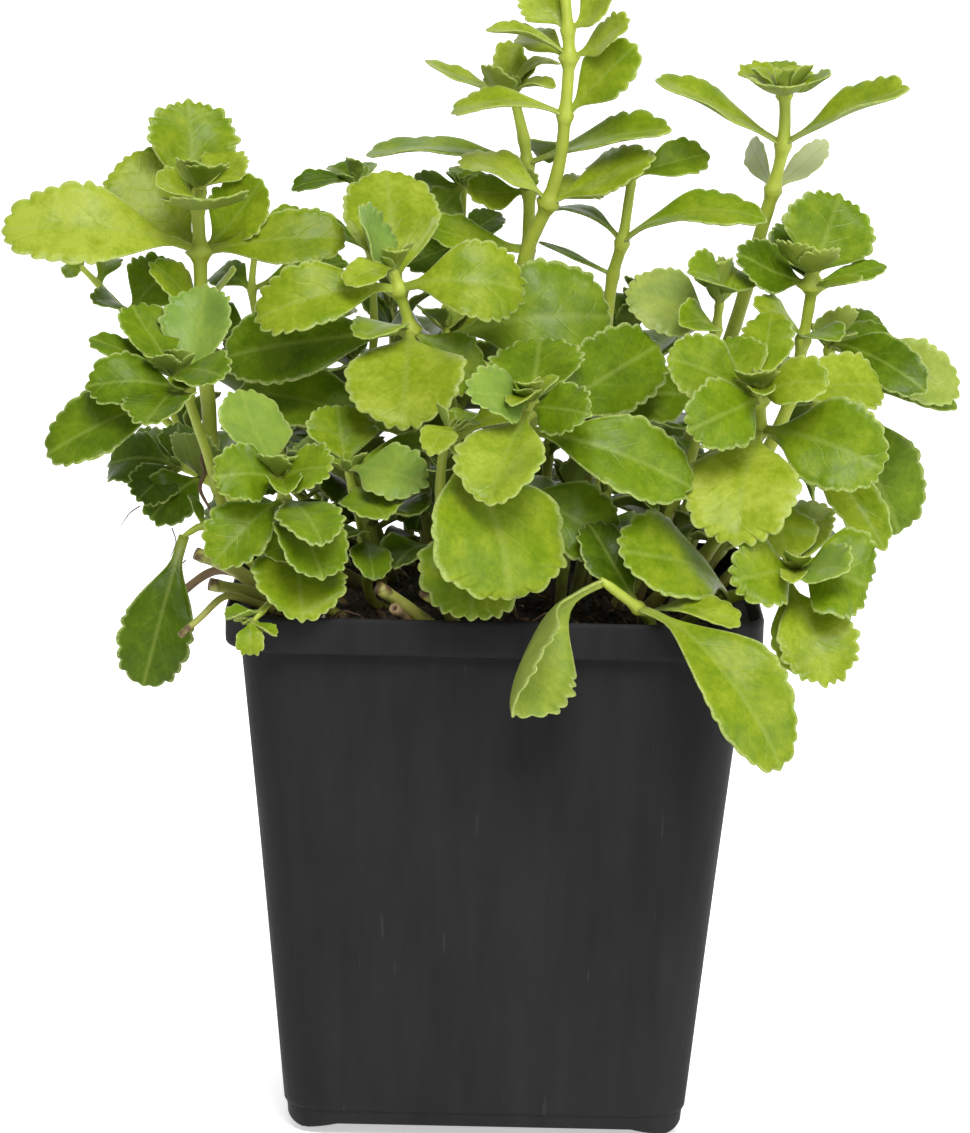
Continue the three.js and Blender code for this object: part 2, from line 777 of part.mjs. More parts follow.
// Drain holes through the raised floor around the foot: one in each corner and one on each side.
function drains() {
  const holes = [];
  const side = (FOOT_WIDTH + BODY_BASE_WIDTH) / 4;
  const corner = side - 1.6;
  for (let quarter = 0; quarter < 4; quarter++) {
    for (const [x, y] of [[side, 0], [corner, corner]]) {
      const hole = new THREE.CylinderGeometry(DRAIN_DIAMETER / 2, DRAIN_DIAMETER / 2, 5 * WALL, 8);
      hole.rotateX(Math.PI / 2).translate(x, y, FOOT_DEPTH + WALL / 2).rotateZ((quarter * Math.PI) / 2);
      holes.push(solid(hole));
    }
  }
  return holes;
}

// Top of the potting mix: heaped a little left of the middle, sunk in the back right corner, lumpy.
function soilTop(x, y) {
  const level = POT_HEIGHT - SOIL_BELOW_RIM;
  const mound = SOIL_MOUND * Math.exp(-((x + 10) ** 2 + (y + 16) ** 2) / 700);
  const hollow = SOIL_HOLLOW * Math.exp(-((x - 34) ** 2 + (y - 26) ** 2) / 420);
  const lumps = 0.5 * Math.sin(x * 0.55 + 1) * Math.cos(y * 0.48) + 0.3 * Math.sin(x * 1.1 - y * 0.9);
  return level + mound - hollow + lumps;
}

function makeSoil(sockets) {
  const floor = FOOT_DEPTH + WALL + CLEARANCE;
  const inset = WALL + CLEARANCE + 0.1;
  const footWidth = FOOT_WIDTH - 2 * inset;
  const edge = BODY_TOP_WIDTH - 2 * inset - 1.2;
  const rings = [
    squareRing(footWidth, FOOT_CORNER - inset, WALL + CLEARANCE),
    squareRing(footWidth, FOOT_CORNER - inset, floor),
    bodyRing(floor, inset + CREASE_STEP),
    squareRing(edge, RIM_CORNER - 1 - inset, POT_HEIGHT - SOIL_BELOW_RIM - SOIL_HOLLOW - 2),
    squareRing(edge, RIM_CORNER - 1 - inset, soilTop),
    squareRing(edge * 0.7, 8, soilTop),
    squareRing(edge * 0.35, 5, soilTop),
  ];
  return sockets.reduce((mix, socket) => mix.subtract(socket), solid(loft(rings)));
}

// A shoot as it is seen in the picture, with its places turned into points and its foot rooted.
function seenShoot({ name, foot, stem, thick, leaves = [] }) {
  const places = stem.map(at);
  return {
    name,
    thick,
    path: [...rooted(foot), ...places],
    leaves: leaves.map(([place, across, down, back, width, arch, roll, cup]) => {
      return { base: places[place], tip: at([across, down, back]), width, arch, roll, cup };
    }),
  };
}

function rooted([x, y]) {
  const top = soilTop(x, y);
  return [new THREE.Vector3(x, y, top - ROOT_DEPTH), new THREE.Vector3(x, y, top - ROOT_DEPTH / 3)];
}

// A shoot that the picture hardly shows: pairs of leaves, each a quarter turn on from the pair above
// it, longer and flatter the lower it stands. Its stem rises first and then leans out.
function regularShoot({ name, foot, head, turn, length }) {
  const start = rooted(foot)[1];
  const end = new THREE.Vector3(...head);
  const along = (share) => {
    const point = start.clone().lerp(end, share ** LEAN_LATE);
    return point.setZ(THREE.MathUtils.lerp(start.z, end.z, share ** RISE_EARLY));
  };
  const leaves = [];
  const path = [];
  for (let pair = 0; pair < PAIRS; pair++) {
    const base = along(1 - PAIR_SPACING * pair);
    path.unshift(base);
    const size = Math.min(1, 0.26 + 0.3 * pair);
    const lift = THREE.MathUtils.degToRad(Math.max(5, 75 - 20 * pair));
    for (const opposite of [0, Math.PI]) {
      const around = THREE.MathUtils.degToRad(turn + 90 * pair) + opposite;
      const reach = new THREE.Vector3(
        Math.cos(around) * Math.cos(lift),
        Math.sin(around) * Math.cos(lift),
        Math.sin(lift),
      ).multiplyScalar(length * size);
      const arch = 0.1 * length * size;
      const width = LEAF_WIDTH_SHARE * length * size;
      leaves.push({ base, tip: base.clone().add(reach), width, arch, roll: 0, cup: 0.25 });
    }
  }
  return { name, thick: REGULAR_STEM, path: [...rooted(foot), along(0.25), ...path], leaves };
}

// A stem is a tapering tube with a ring at each place it passes through. Grown by a clearance, it cuts
// room for itself.
function makeStem({ path, thick }, grow) {
  const curve = new THREE.CatmullRomCurve3(path, false, "centripetal");
  const last = path.length - 1;
  const rings = path.map((place, i) => {
    const along = curve.getTangent(i / last);
    const side = new THREE.Vector3(0, 1, 0).cross(along).normalize();
    const back = along.clone().cross(side);
    const centre = place.clone();
    if (i === 0) centre.addScaledVector(along, -grow);
    if (i === last) centre.addScaledVector(along, STEM_PAST_LEAVES + grow);
    const radius = (thick / 2) * (1 - STEM_TAPER * (i / last)) + grow;
    const ring = [];
    for (let k = 0; k < STEM_SIDES; k++) {
      const angle = (k / STEM_SIDES) * 2 * Math.PI;
      const point = centre.clone().addScaledVector(side, Math.cos(angle) * radius);
      ring.push(point.addScaledVector(back, Math.sin(angle) * radius));
    }
    return ring;
  });
  return solid(loft(rings));
}

// Shares of a leaf's length, and how far its width has grown there from the stalk's to the blade's.
const LEAF_OUTLINE = [
  [0, 0],
  [0.28, 0.08],
  [0.68, 1],
  [1, 0.6],
];
const SMALL_LEAF_OUTLINE = [
  [0, 0],
  [0.62, 1],
  [1, 0.55],
];
const SMALL_LEAF = 19;

function makeLeaf({ base, tip, width, arch, roll, cup }, grow) {
  const axis = tip.clone().sub(base).normalize();
  const start = base.clone().addScaledVector(axis, STALK_INSIDE);
  const face = new THREE.Vector3(0, 0, 1).addScaledVector(axis, -axis.z).normalize();
  face.applyAxisAngle(axis, THREE.MathUtils.degToRad(axis.x < 0 ? -roll : roll));
  const side = face.clone().cross(axis);
  const bend = start.clone().lerp(tip, 0.4).addScaledVector(face, 2 * arch);
  const rib = new THREE.QuadraticBezierCurve3(start, bend, tip);
  const outline = tip.distanceTo(base) < SMALL_LEAF ? SMALL_LEAF_OUTLINE : LEAF_OUTLINE;
  const last = outline.length - 1;
  const rings = outline.map(([share, spread], i) => {
    const centre = rib.getPoint(share);
    const along = rib.getTangent(share);
    const above = along.clone().cross(side).normalize();
    if (i === last) centre.addScaledVector(along, grow);
    if (i === 0) centre.addScaledVector(along, -grow);
    const half = THREE.MathUtils.lerp(Math.min(PETIOLE_WIDTH, width / 2), width, spread) / 2 + grow;
    const thick = LEAF_THICKNESS / 2 + grow;
    const rise = above.clone().multiplyScalar((cup * width * spread) / 2);
    return [
      centre.clone().addScaledVector(side, half).add(rise),
      centre.clone().addScaledVector(side, -half).add(rise),
      centre.clone().addScaledVector(above, -thick),
    ];
  });
  return solid(loft(rings));
}

function joined(bodies) {
  return wasm.Manifold.union(bodies);
}

// A leaf that would run into a neighbour stops short of it. One with no room at all is left out.
function roomyLeaf(leaf, neighbours) {
  return SHORTER.map((share) => {
    return { ...leaf, tip: leaf.base.clone().lerp(leaf.tip, share), width: leaf.width * Math.sqrt(share) };
  }).find((shorter) => makeLeaf(shorter, 0).intersect(neighbours).isEmpty());
}

// Stems keep clear of each other by their layout. A leaf gives way to every other shoot's stem and to
// the leaves of the shoots before its own.
function makeShoots(shoots) {
  const stems = shoots.map((shoot) => makeStem(shoot, 0));
  const stemRooms = shoots.map((shoot) => makeStem(shoot, CLEARANCE));
  let taken = [];
  return shoots.map((shoot, i) => {
    const neighbours = joined([...stemRooms.filter((_, k) => k !== i), ...taken]);
    const leaves = shoot.leaves.map((leaf) => roomyLeaf(leaf, neighbours)).filter(Boolean);
    taken = [...taken, ...leaves.map((leaf) => makeLeaf(leaf, CLEARANCE))];
    return joined([stems[i], ...leaves.map((leaf) => makeLeaf(leaf, 0))]);
  });
}

const finish = (color, roughness) => new THREE.MeshStandardMaterial({ color, roughness, metalness: 0 });
const potPlastic = finish(0x2f2e30, 0.55);
const pottingMix = finish(0x2c2018, 0.95);
const leafGreen = finish(0x7f9c34, 0.45);
const oldStem = finish(0x8a8a3c, 0.7);

const plant = new THREE.Group();
const growing = [...[...SHOOTS, ...STUBS].map(seenShoot), ...REGULAR_SHOOTS.map(regularShoot)];
const sockets = growing.map((shoot) => makeStem(shoot, CLEARANCE));
plant.add(named("pot", makePot(), potPlastic));
plant.add(named("potting_mix", makeSoil(sockets), pottingMix));
makeShoots(growing).forEach((body, i) => {
  plant.add(named(growing[i].name, body, growing[i].leaves.length > 0 ? leafGreen : oldStem));
});

export default plant;
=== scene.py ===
# Potted two-row stonecrop: a square nursery pot, its potting mix and the shoots that grow in it.
# Metres, +Z up. The origin is the centre of the pot's flat foot, and the pot's front faces -Y.
import math
import zlib

import bpy
import numpy as np
from mathutils import Matrix, Vector, noise


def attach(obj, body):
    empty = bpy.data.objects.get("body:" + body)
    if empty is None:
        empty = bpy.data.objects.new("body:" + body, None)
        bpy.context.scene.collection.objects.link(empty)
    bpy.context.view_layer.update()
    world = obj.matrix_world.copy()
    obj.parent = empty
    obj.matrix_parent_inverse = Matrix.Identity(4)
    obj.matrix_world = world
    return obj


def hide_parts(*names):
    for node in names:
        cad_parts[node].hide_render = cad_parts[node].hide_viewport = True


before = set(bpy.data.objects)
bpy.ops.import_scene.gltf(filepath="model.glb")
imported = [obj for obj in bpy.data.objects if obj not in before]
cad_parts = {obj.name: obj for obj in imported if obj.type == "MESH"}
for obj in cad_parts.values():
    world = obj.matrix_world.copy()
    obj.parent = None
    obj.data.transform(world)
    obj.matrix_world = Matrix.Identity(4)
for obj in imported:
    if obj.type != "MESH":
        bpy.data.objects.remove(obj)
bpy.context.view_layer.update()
MM = 0.001

# Pot. A square nursery pot of thin charcoal plastic, moulded in one with its rim band and its foot.
# It stands on the flat underside of the foot, and eight drain holes go through the floor around it.
RIM_WIDTH = 90
POT_HEIGHT = 91
BAND_BOTTOM = POT_HEIGHT - 6.2
BODY_TOP_WIDTH = 84.8
BODY_BASE_WIDTH = 67.8
WALL = 1
RIM_CORNER = 11
BASE_CORNER = 9
FOOT_WIDTH = 48
FOOT_DEPTH = 2
FOOT_CORNER = 6
CORNER_DROP = 1.4
CREASE = 4.4
CREASE_STEP = 0.4
DRAIN_RADIUS = 2.75
DRAIN_SIDES = 28
DRAIN_SPAN = (0.4, 4.4)
CORNER_DRAIN_SHIFT = 1.6
SHARP_ANGLE = 38
WALL_SPAN = (8, 82)
WALL_BULGE = 0.12


def square_ring(width, corner, height):
    """Points of a level square with round corners, in mm, counter-clockwise from above."""
    turn = np.linspace(0, math.pi / 2, 13)
    inner = width / 2 - corner
    arc = np.column_stack([inner + corner * np.cos(turn), inner + corner * np.sin(turn)])
    side = np.linspace(arc[-1], (-inner, width / 2), 12)[1:-1]
    quarter = np.concatenate([arc, side])
    turns = ((1, 0), (0, 1), (-1, 0), (0, -1))
    ring = np.concatenate([quarter @ np.array([[c, s], [-s, c]]) for c, s in turns])
    return np.column_stack([ring, np.full(len(ring), height)])


def body_ring(z, inset):
    """The pot's tapering body at a height, drawn in by an inset."""
    share = (z - FOOT_DEPTH) / (BAND_BOTTOM - FOOT_DEPTH)
    width = BODY_BASE_WIDTH + (BODY_TOP_WIDTH - BODY_BASE_WIDTH) * share
    corner = BASE_CORNER + (RIM_CORNER - 1 - BASE_CORNER) * share
    return square_ring(width - 2 * inset, corner - inset, z)


def bottom_edge(ring):
    """A ring of the walls' bottom edge, which drops lower in the four corners."""
    middle = BODY_BASE_WIDTH / 2 - BASE_CORNER
    share = np.clip((np.abs(ring[:, :2]) - middle) / BASE_CORNER, 0, 0.7) / 0.7
    ring[:, 2] -= CORNER_DROP * share[:, 0] * share[:, 1]
    return ring


def loft(rings):
    """Points and faces of a closed skin through equal rings, with a fan at each end."""
    count = len(rings[0])
    points = np.concatenate([*rings, [rings[0].mean(axis=0)], [rings[-1].mean(axis=0)]])
    last = (len(rings) - 1) * count
    faces = []
    for i in range(count):
        after = (i + 1) % count
        for low in range(0, last, count):
            faces.append((low + i, low + after, low + count + after, low + count + i))
        faces.append((len(points) - 2, after, i))
        faces.append((len(points) - 1, last + i, last + after))
    return points, faces


def mesh_object(name, points, faces, materials, sharp=None):
    """A smooth object from points in mm, at the origin, with its place in its mesh."""
    mesh = bpy.data.meshes.new(name)
    mesh.from_pydata((np.asarray(points) * MM).tolist(), [], faces)
    mesh.shade_smooth()
    if sharp:
        mesh.set_sharp_from_angle(angle=math.radians(sharp))
    for material in materials:
        mesh.materials.append(material)
    made = bpy.data.objects.new(name, mesh)
    bpy.context.scene.collection.objects.link(made)
    return made


def plain_mesh(made):
    """Takes what an object's modifiers make as its plain mesh, and removes them."""
    evaluated = made.evaluated_get(bpy.context.evaluated_depsgraph_get())
    result = bpy.data.meshes.new_from_object(evaluated)
    made.modifiers.clear()
    made.data = result


def fill(tree, sockets, values):
    """Links or sets input sockets, from values by their names or numbers."""
    for key, value in values.items():
        if isinstance(value, bpy.types.NodeSocket):
            tree.links.new(value, sockets[key])
        else:
            sockets[key].default_value = value


def add_node(tree, kind, inputs=None, **settings):
    """A shader or geometry node with its settings, and values or links for its inputs."""
    made = tree.nodes.new(kind)
    for key, value in settings.items():
        setattr(made, key, value)
    fill(tree, made.inputs, inputs or {})
    return made


class Finish:
    """A node material in the making. Its patterns lie in the piece's own coordinates."""

    def __init__(self, name):
        self.material = bpy.data.materials.new(name)
        self.material.use_nodes = True
        self.tree = self.material.node_tree
        self.place = self.node("ShaderNodeTexCoord").outputs["Object"]

    def node(self, kind, inputs=None, **settings):
        """A node of this material."""
        return add_node(self.tree, kind, inputs, **settings)

    def noise(self, scale, detail, rough=0.5, place=None):
        """A cloudy pattern from 0 to 1."""
        place = self.place if place is None else place
        inputs = {"Vector": place, "Scale": scale, "Detail": detail, "Roughness": rough}
        return self.node("ShaderNodeTexNoise", inputs).outputs["Fac"]

    def stretched(self, scale, rotation=(0, 0, 0)):
        """The place in coordinates that are scaled and turned."""
        inputs = {"Vector": self.place, "Scale": scale, "Rotation": rotation}
        return self.node("ShaderNodeMapping", inputs).outputs["Vector"]

    def split(self, vector):
        """The three parts of a vector, as X, Y and Z."""
        return self.node("ShaderNodeSeparateXYZ", {0: vector}).outputs

    def marks(self, name):
        """The three parts of a mark that the mesh carries."""
        return self.split(self.node("ShaderNodeAttribute", attribute_name=name).outputs["Vector"])

    def calc(self, operation, first, second=0.0):
        """A sum, product or other operation on one or two values."""
        return self.node("ShaderNodeMath", {0: first, 1: second}, operation=operation).outputs[0]

    def span(self, value, low, high, to_low=0.0, to_high=1.0, kind="SMOOTHSTEP"):
        """A value brought from one range to another, and kept inside it."""
        limits = {"From Min": low, "From Max": high, "To Min": to_low, "To Max": to_high}
        made = self.node("ShaderNodeMapRange", {"Value": value, **limits}, interpolation_type=kind)
        return made.outputs["Result"]

    def ramp(self, factor, stops):
        """A colour ramp on a factor, from (position, colour) stops."""
        made = self.node("ShaderNodeValToRGB", {"Fac": factor})
        while len(made.color_ramp.elements) < len(stops):
            made.color_ramp.elements.new(0.5)
        for element, (position, colour) in zip(made.color_ramp.elements, stops):
            element.position = position
            element.color = (*colour, 1)
        return made.outputs["Color"]

    def blend(self, factor, first, colour):
        """A first colour that a factor turns into another."""
        inputs = {0: factor, 6: first, 7: (*colour, 1)}
        return self.node("ShaderNodeMix", inputs, data_type="RGBA").outputs[2]

    def bump(self, height, strength, distance, **under):
        """The surface's tilt for a relief, on top of the tilt that Normal gives."""
        inputs = {"Height": height, "Strength": strength, "Distance": distance, **under}
        return self.node("ShaderNodeBump", inputs).outputs["Normal"]

    def shaded(self, values):
        """The material, with its shader's inputs by name."""
        fill(self.tree, self.tree.nodes["Principled BSDF"].inputs, values)
        return self.material


def charcoal_plastic():
    """Matt moulded plastic with faint upright streaks, a few rubbed marks and a fine grain."""
    plastic = Finish("charcoal_plastic")
    streaks = plastic.noise(260, 5, 0.6, plastic.stretched((1, 1, 0.06)))
    cloud = plastic.noise(38, 6)
    half = plastic.calc("MULTIPLY", plastic.calc("ADD", streaks, cloud), 0.5)
    dark = plastic.ramp(half, [(0.3, (0.0145, 0.0145, 0.0152)), (0.7, (0.025, 0.025, 0.0262))])
    scratches = plastic.noise(900, 1, 0.5, plastic.stretched((1, 1, 0.02), (0.3, 0.5, 0.2)))
    rubbed = plastic.ramp(scratches, [(0.76, (0, 0, 0)), (0.8, (0.5, 0.5, 0.5))])
    fine = plastic.bump(plastic.noise(1400, 3), 0.35, 0.00012)
    return plastic.shaded({
        "Base Color": plastic.blend(rubbed, dark, (0.04, 0.04, 0.042)),
        "Roughness": plastic.span(cloud, 0.3, 0.7, 0.5, 0.66, "LINEAR"),
        "Specular IOR Level": 0.06,
        "Normal": plastic.bump(streaks, 0.3, 0.0003, Normal=fine),
    })


ledge = BAND_BOTTOM + WALL
pot_rings = [
    square_ring(FOOT_WIDTH - less, FOOT_CORNER - less / 2, z)
    for less, z in ((1.2, 0), (0.3, 0.12), (0, 0.45), (0, FOOT_DEPTH - 0.2), (-0.4, FOOT_DEPTH))
]
pot_rings += [
    bottom_edge(body_ring(FOOT_DEPTH + rise, CREASE_STEP + inset))
    for rise, inset in ((0, 1), (0.06, 0.5), (0.25, 0.15), (0.6, 0))
]
crease_insets = [CREASE_STEP, CREASE_STEP - 0.05, CREASE_STEP * 0.4, 0, 0]
pot_rings += [
    body_ring(CREASE + rise, inset) for rise, inset in zip((-0.5, 0, 0.12, 0.5, 1.2), crease_insets)
]
pot_rings += [
    body_ring(z, WALL_BULGE * math.sin(math.pi * (z - WALL_SPAN[0]) / (WALL_SPAN[1] - WALL_SPAN[0])))
    for z in np.linspace(*WALL_SPAN, 13)
]
pot_rings += [
    body_ring(BAND_BOTTOM - 0.9, 0),
    body_ring(BAND_BOTTOM - 0.25, -0.1),
    square_ring(BODY_TOP_WIDTH + 0.8, RIM_CORNER - 0.8, BAND_BOTTOM),
]
pot_rings += [
    square_ring(RIM_WIDTH - less, RIM_CORNER - tighter, POT_HEIGHT - below)
    for less, tighter, below in (
        (1.6, 0.8, 6.18), (0.8, 0.4, 6.05), (0.25, 0.12, 5.6), (0.15, 0, 4.8), (0.1, 0, 1.6),
        (0, 0, 0.9), (0.15, 0, 0.4), (0.55, 0.2, 0.1), (1, 0.4, 0), (1.5, 0.8, 0.08),
        (1.9, 0.95, 0.4), (2, 1, 1), (2, 1, 4.4), (2.6, 1.2, 5),
    )
]
pot_rings += [
    square_ring(BODY_TOP_WIDTH - WALL, RIM_CORNER - 1.6, ledge),
    body_ring(ledge - 0.6, WALL),
    body_ring(40, WALL),
    body_ring(FOOT_DEPTH + WALL + 1, WALL + CREASE_STEP),
    body_ring(FOOT_DEPTH + WALL, WALL + CREASE_STEP + 0.6),
]
pot_rings += [
    square_ring(FOOT_WIDTH - less, FOOT_CORNER - WALL, z)
    for less, z in ((2, FOOT_DEPTH + WALL), (2.2, FOOT_DEPTH), (2.6, WALL))
]
pot = mesh_object("nursery_pot", *loft(pot_rings), [charcoal_plastic()], SHARP_ANGLE)
punch_points, punch_faces = [], []
drain_side = (FOOT_WIDTH + BODY_BASE_WIDTH) / 4
drain_corner = drain_side - CORNER_DRAIN_SHIFT
for quarter in range(4):
    for x, y in ((drain_side, 0), (drain_corner, drain_corner)):
        turn = quarter * math.pi / 2
        middle = (x * math.cos(turn) - y * math.sin(turn), x * math.sin(turn) + y * math.cos(turn))
        around = np.linspace(0, 2 * math.pi, DRAIN_SIDES, endpoint=False)
        circle = np.column_stack([np.cos(around), np.sin(around)]) * DRAIN_RADIUS + middle
        ends = [np.column_stack([circle, np.full(DRAIN_SIDES, z)]) for z in DRAIN_SPAN]
        points, faces = loft(ends)
        punch_faces += [tuple(i + len(punch_points) for i in face) for face in faces]
        punch_points += points.tolist()
punch = mesh_object("drain_punch", punch_points, punch_faces, [])
drains = pot.modifiers.new("drains", "BOOLEAN")
drains.object = punch
drains.operation = "DIFFERENCE"
drains.solver = "EXACT"
plain_mesh(pot)
bpy.data.objects.remove(punch)
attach(pot, "root")
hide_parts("pot")

# Potting mix. Peat and fine bark, heaped a little left of the middle and sunk at the back right.
# Its skin is lumpy, and loose crumbs, bark slivers and pale grains lie pressed into it.
SOIL_BELOW_RIM = 4
SOIL_INSET = 1.4


def soil_top(x, y):
    """Height of the potting mix at a place, in mm."""
    mound = 2.2 * np.exp(-((x + 10) ** 2 + (y + 16) ** 2) / 700)
    hollow = 6 * np.exp(-((x - 34) ** 2 + (y - 26) ** 2) / 420)
    lumps = 0.5 * np.sin(x * 0.55 + 1) * np.cos(y * 0.48) + 0.3 * np.sin(x * 1.1 - y * 0.9)
    return POT_HEIGHT - SOIL_BELOW_RIM + mound - hollow + lumps


def lumpy_ring(width, corner):
    """A ring on the potting mix's top, roughened by peat lumps."""
    ring = square_ring(width, corner, 0)
    for point in ring:
        rough = 0.9 * noise.noise((point[0] * 0.5, point[1] * 0.5, 0))
        rough += 0.5 * noise.noise((point[0] * 1.3, point[1] * 1.3, 7))
        point[2] = soil_top(point[0], point[1]) + rough
    return ring


def peat():
    """Dark brown peat with blacker hollows, redder fibres and a coarse crumbly relief."""
    mix = Finish("peat")
    clods = mix.noise(420, 8, 0.7)
    return mix.shaded({
        "Base Color": mix.ramp(clods, [
            (0.3, (0.004, 0.003, 0.002)), (0.5, (0.02, 0.012, 0.007)), (0.7, (0.06, 0.036, 0.018)),
        ]),
        "Roughness": 0.92, "Normal": mix.bump(clods, 0.9, 0.0012),
    })


def crumb_finish(name, colours):
    """A dull crumb material that varies from crumb to crumb by where it lies."""
    crumb = Finish(name)
    return crumb.shaded({
        "Base Color": crumb.ramp(crumb.noise(300, 4), colours), "Roughness": 0.85,
        "Normal": crumb.bump(crumb.noise(2600, 3), 0.6, 0.0003),
    })


def new_group(name, inputs, output):
    """A geometry node group with its inputs and its one output, and what comes in."""
    tree = bpy.data.node_groups.new(name, "GeometryNodeTree")
    for label, kind in inputs.items():
        tree.interface.new_socket(label, in_out="INPUT", socket_type="NodeSocket" + kind)
    tree.interface.new_socket(output, in_out="OUTPUT", socket_type="NodeSocketGeometry")
    return tree, add_node(tree, "NodeGroupInput").outputs


def run_group(made, tree, values):
    """Gives an object a node group as its modifier, with values by the names of the inputs."""
    modifier = made.modifiers.new(tree.name, "NODES")
    modifier.node_group = tree
    for item in tree.interface.items_tree:
        if item.in_out == "INPUT" and item.name in values:
            modifier[item.identifier] = values[item.name]


def scatter_tree():
    """Geometry nodes that strew crumbs over the upward faces of a skin."""
    tree, given = new_group("strewn_crumbs", {
        "Skin": "Geometry", "Density": "Float", "Seed": "Int", "Smallest": "Vector",
        "Largest": "Vector", "Finish": "Material",
    }, "Crumbs")
    normal = add_node(tree, "GeometryNodeInputNormal").outputs[0]
    up = add_node(tree, "ShaderNodeSeparateXYZ", {0: normal}).outputs["Z"]
    upward = add_node(tree, "FunctionNodeCompare", {0: up, 1: 0.3}, operation="GREATER_THAN")
    spots = add_node(
        tree, "GeometryNodeDistributePointsOnFaces",
        {"Mesh": given["Skin"], "Density": given["Density"], "Seed": given["Seed"],
         "Selection": upward.outputs[0]},
    )
    ball = add_node(tree, "GeometryNodeMeshIcoSphere", {"Radius": MM, "Subdivisions": 2})
    rough = add_node(tree, "ShaderNodeTexNoise", {"Scale": 900.0, "Detail": 1.0})
    centred = add_node(
        tree, "ShaderNodeVectorMath", {0: rough.outputs["Color"], 1: (0.5, 0.5, 0.5)},
        operation="SUBTRACT",
    )
    shift = add_node(
        tree, "ShaderNodeVectorMath", {0: centred.outputs[0], "Scale": 1.6 * MM}, operation="SCALE"
    )
    crumb = add_node(
        tree, "GeometryNodeSetPosition", {"Geometry": ball.outputs["Mesh"], "Offset": shift.outputs[0]}
    )
    turn = add_node(
        tree, "FunctionNodeRandomValue", {"Max": (6.28, 6.28, 6.28), "Seed": given["Seed"]},
        data_type="FLOAT_VECTOR",
    )
    size = add_node(
        tree, "FunctionNodeRandomValue",
        {"Min": given["Smallest"], "Max": given["Largest"], "Seed": given["Seed"]},
        data_type="FLOAT_VECTOR",
    )
    strewn = add_node(
        tree, "GeometryNodeInstanceOnPoints",
        {"Points": spots.outputs["Points"], "Instance": crumb.outputs["Geometry"],
         "Rotation": turn.outputs["Value"], "Scale": size.outputs["Value"]},
    )
    real = add_node(tree, "GeometryNodeRealizeInstances", {"Geometry": strewn.outputs["Instances"]})
    finished = add_node(
        tree, "GeometryNodeSetMaterial",
        {"Geometry": real.outputs["Geometry"], "Material": given["Finish"]},
    )
    add_node(tree, "NodeGroupOutput", {"Crumbs": finished.outputs["Geometry"]})
    return tree


def strew(name, skin, tree, values):
    """A piece of crumbs strewn over a copy of a skin by the tree, with its inputs by name."""
    made = bpy.data.objects.new(name, skin.data.copy())
    bpy.context.scene.collection.objects.link(made)
    run_group(made, tree, values)
    plain_mesh(made)
    made.data.name = name
    made.data.shade_smooth()
    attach(made, "root")


soil_edge = BODY_TOP_WIDTH - 2 * SOIL_INSET - 1.2
soil_rings = [
    square_ring(FOOT_WIDTH - 3, FOOT_CORNER - 1.5, 1.3),
    square_ring(FOOT_WIDTH - 3, FOOT_CORNER - 1.5, 3.3),
    body_ring(3.4, SOIL_INSET + 0.5),
    body_ring(40, SOIL_INSET + 0.6),
    square_ring(soil_edge, RIM_CORNER - 2.4, 78),
    *[lumpy_ring(soil_edge * s, (RIM_CORNER - 2.4) * s) for s in np.linspace(1, 0.02, 48)],
]
soil = mesh_object("peat_and_bark", *loft(soil_rings), [peat()])
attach(soil, "root")
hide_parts("potting_mix")
crumbs = scatter_tree()
strew("peat_crumbs", soil, crumbs, {
    "Density": 3.2e5, "Seed": 3, "Smallest": (0.25, 0.25, 0.2), "Largest": (0.8, 0.7, 0.55),
    "Finish": crumb_finish("crumb_peat", [(0.35, (0.008, 0.005, 0.003)), (0.65, (0.05, 0.03, 0.016))]),
})
strew("bark_slivers", soil, crumbs, {
    "Density": 4.5e4, "Seed": 8, "Smallest": (0.3, 0.2, 0.9), "Largest": (0.8, 0.45, 2.4),
    "Finish": crumb_finish("crumb_bark", [(0.35, (0.035, 0.018, 0.008)), (0.65, (0.13, 0.075, 0.035))]),
})
strew("pale_grains", soil, crumbs, {
    "Density": 6e3, "Seed": 5, "Smallest": (0.25, 0.25, 0.25), "Largest": (0.6, 0.6, 0.5),
    "Finish": crumb_finish("crumb_pale", [(0.3, (0.3, 0.25, 0.18)), (0.7, (0.5, 0.45, 0.36))]),
})

# Leafy shoots. Each is one living piece: a fleshy stem rooted in the potting mix, with opposite
# pairs of spoon-shaped leaves that have a narrow stalk, a thick waxy blade and a scalloped end.
PICTURE = (970, 1133)
EYE = np.array((-1.8, -945.0, 246.0))
PITCH = math.radians(9.2)
TILT = math.radians(1.2)
FOCAL_POINTS = 5538
ROOT_DEPTH = 7
STEM_TAPER = 0.35
STEM_PAST_LEAVES = 0.8
KNOT_SWELL = 0.24
KNOT_REACH = 1.1
OUTLINE_STEPS = 600
STALK_SHARE = 0.17
SCALLOPS_BEFORE_WIDEST = 0.13
BEND_SHARE = 0.4
FULL_TURN = 6.28
QUARTER_TURN = 1.57
SMALL_LEAF = 19
YOUNG_LENGTH = 11
YOUNG_TONE = 0.12
BUD_PER_THICKNESS = 2.2
BUD_LEAF_WIDTH = 0.62
# A bud's rings of leaves, from outside: how steeply they stand, and their share of its size.
BUD_RINGS = ((0.75, 1.0), (1.1, 0.7), (1.4, 0.45))
# The width of a leaf's stalk, where along it the blade is widest, and the thickness of its margin.
SMALL_BLADE = (1.2, 0.6, 0.24)
LARGE_BLADE = (1.6, 0.66, 0.34)
# Rows of mesh across half a blade, and points along each scallop.
GROWN_MESH = (4, 6)
REGULAR_MESH = (3, 4)
BUD_MESH = (2, 3)
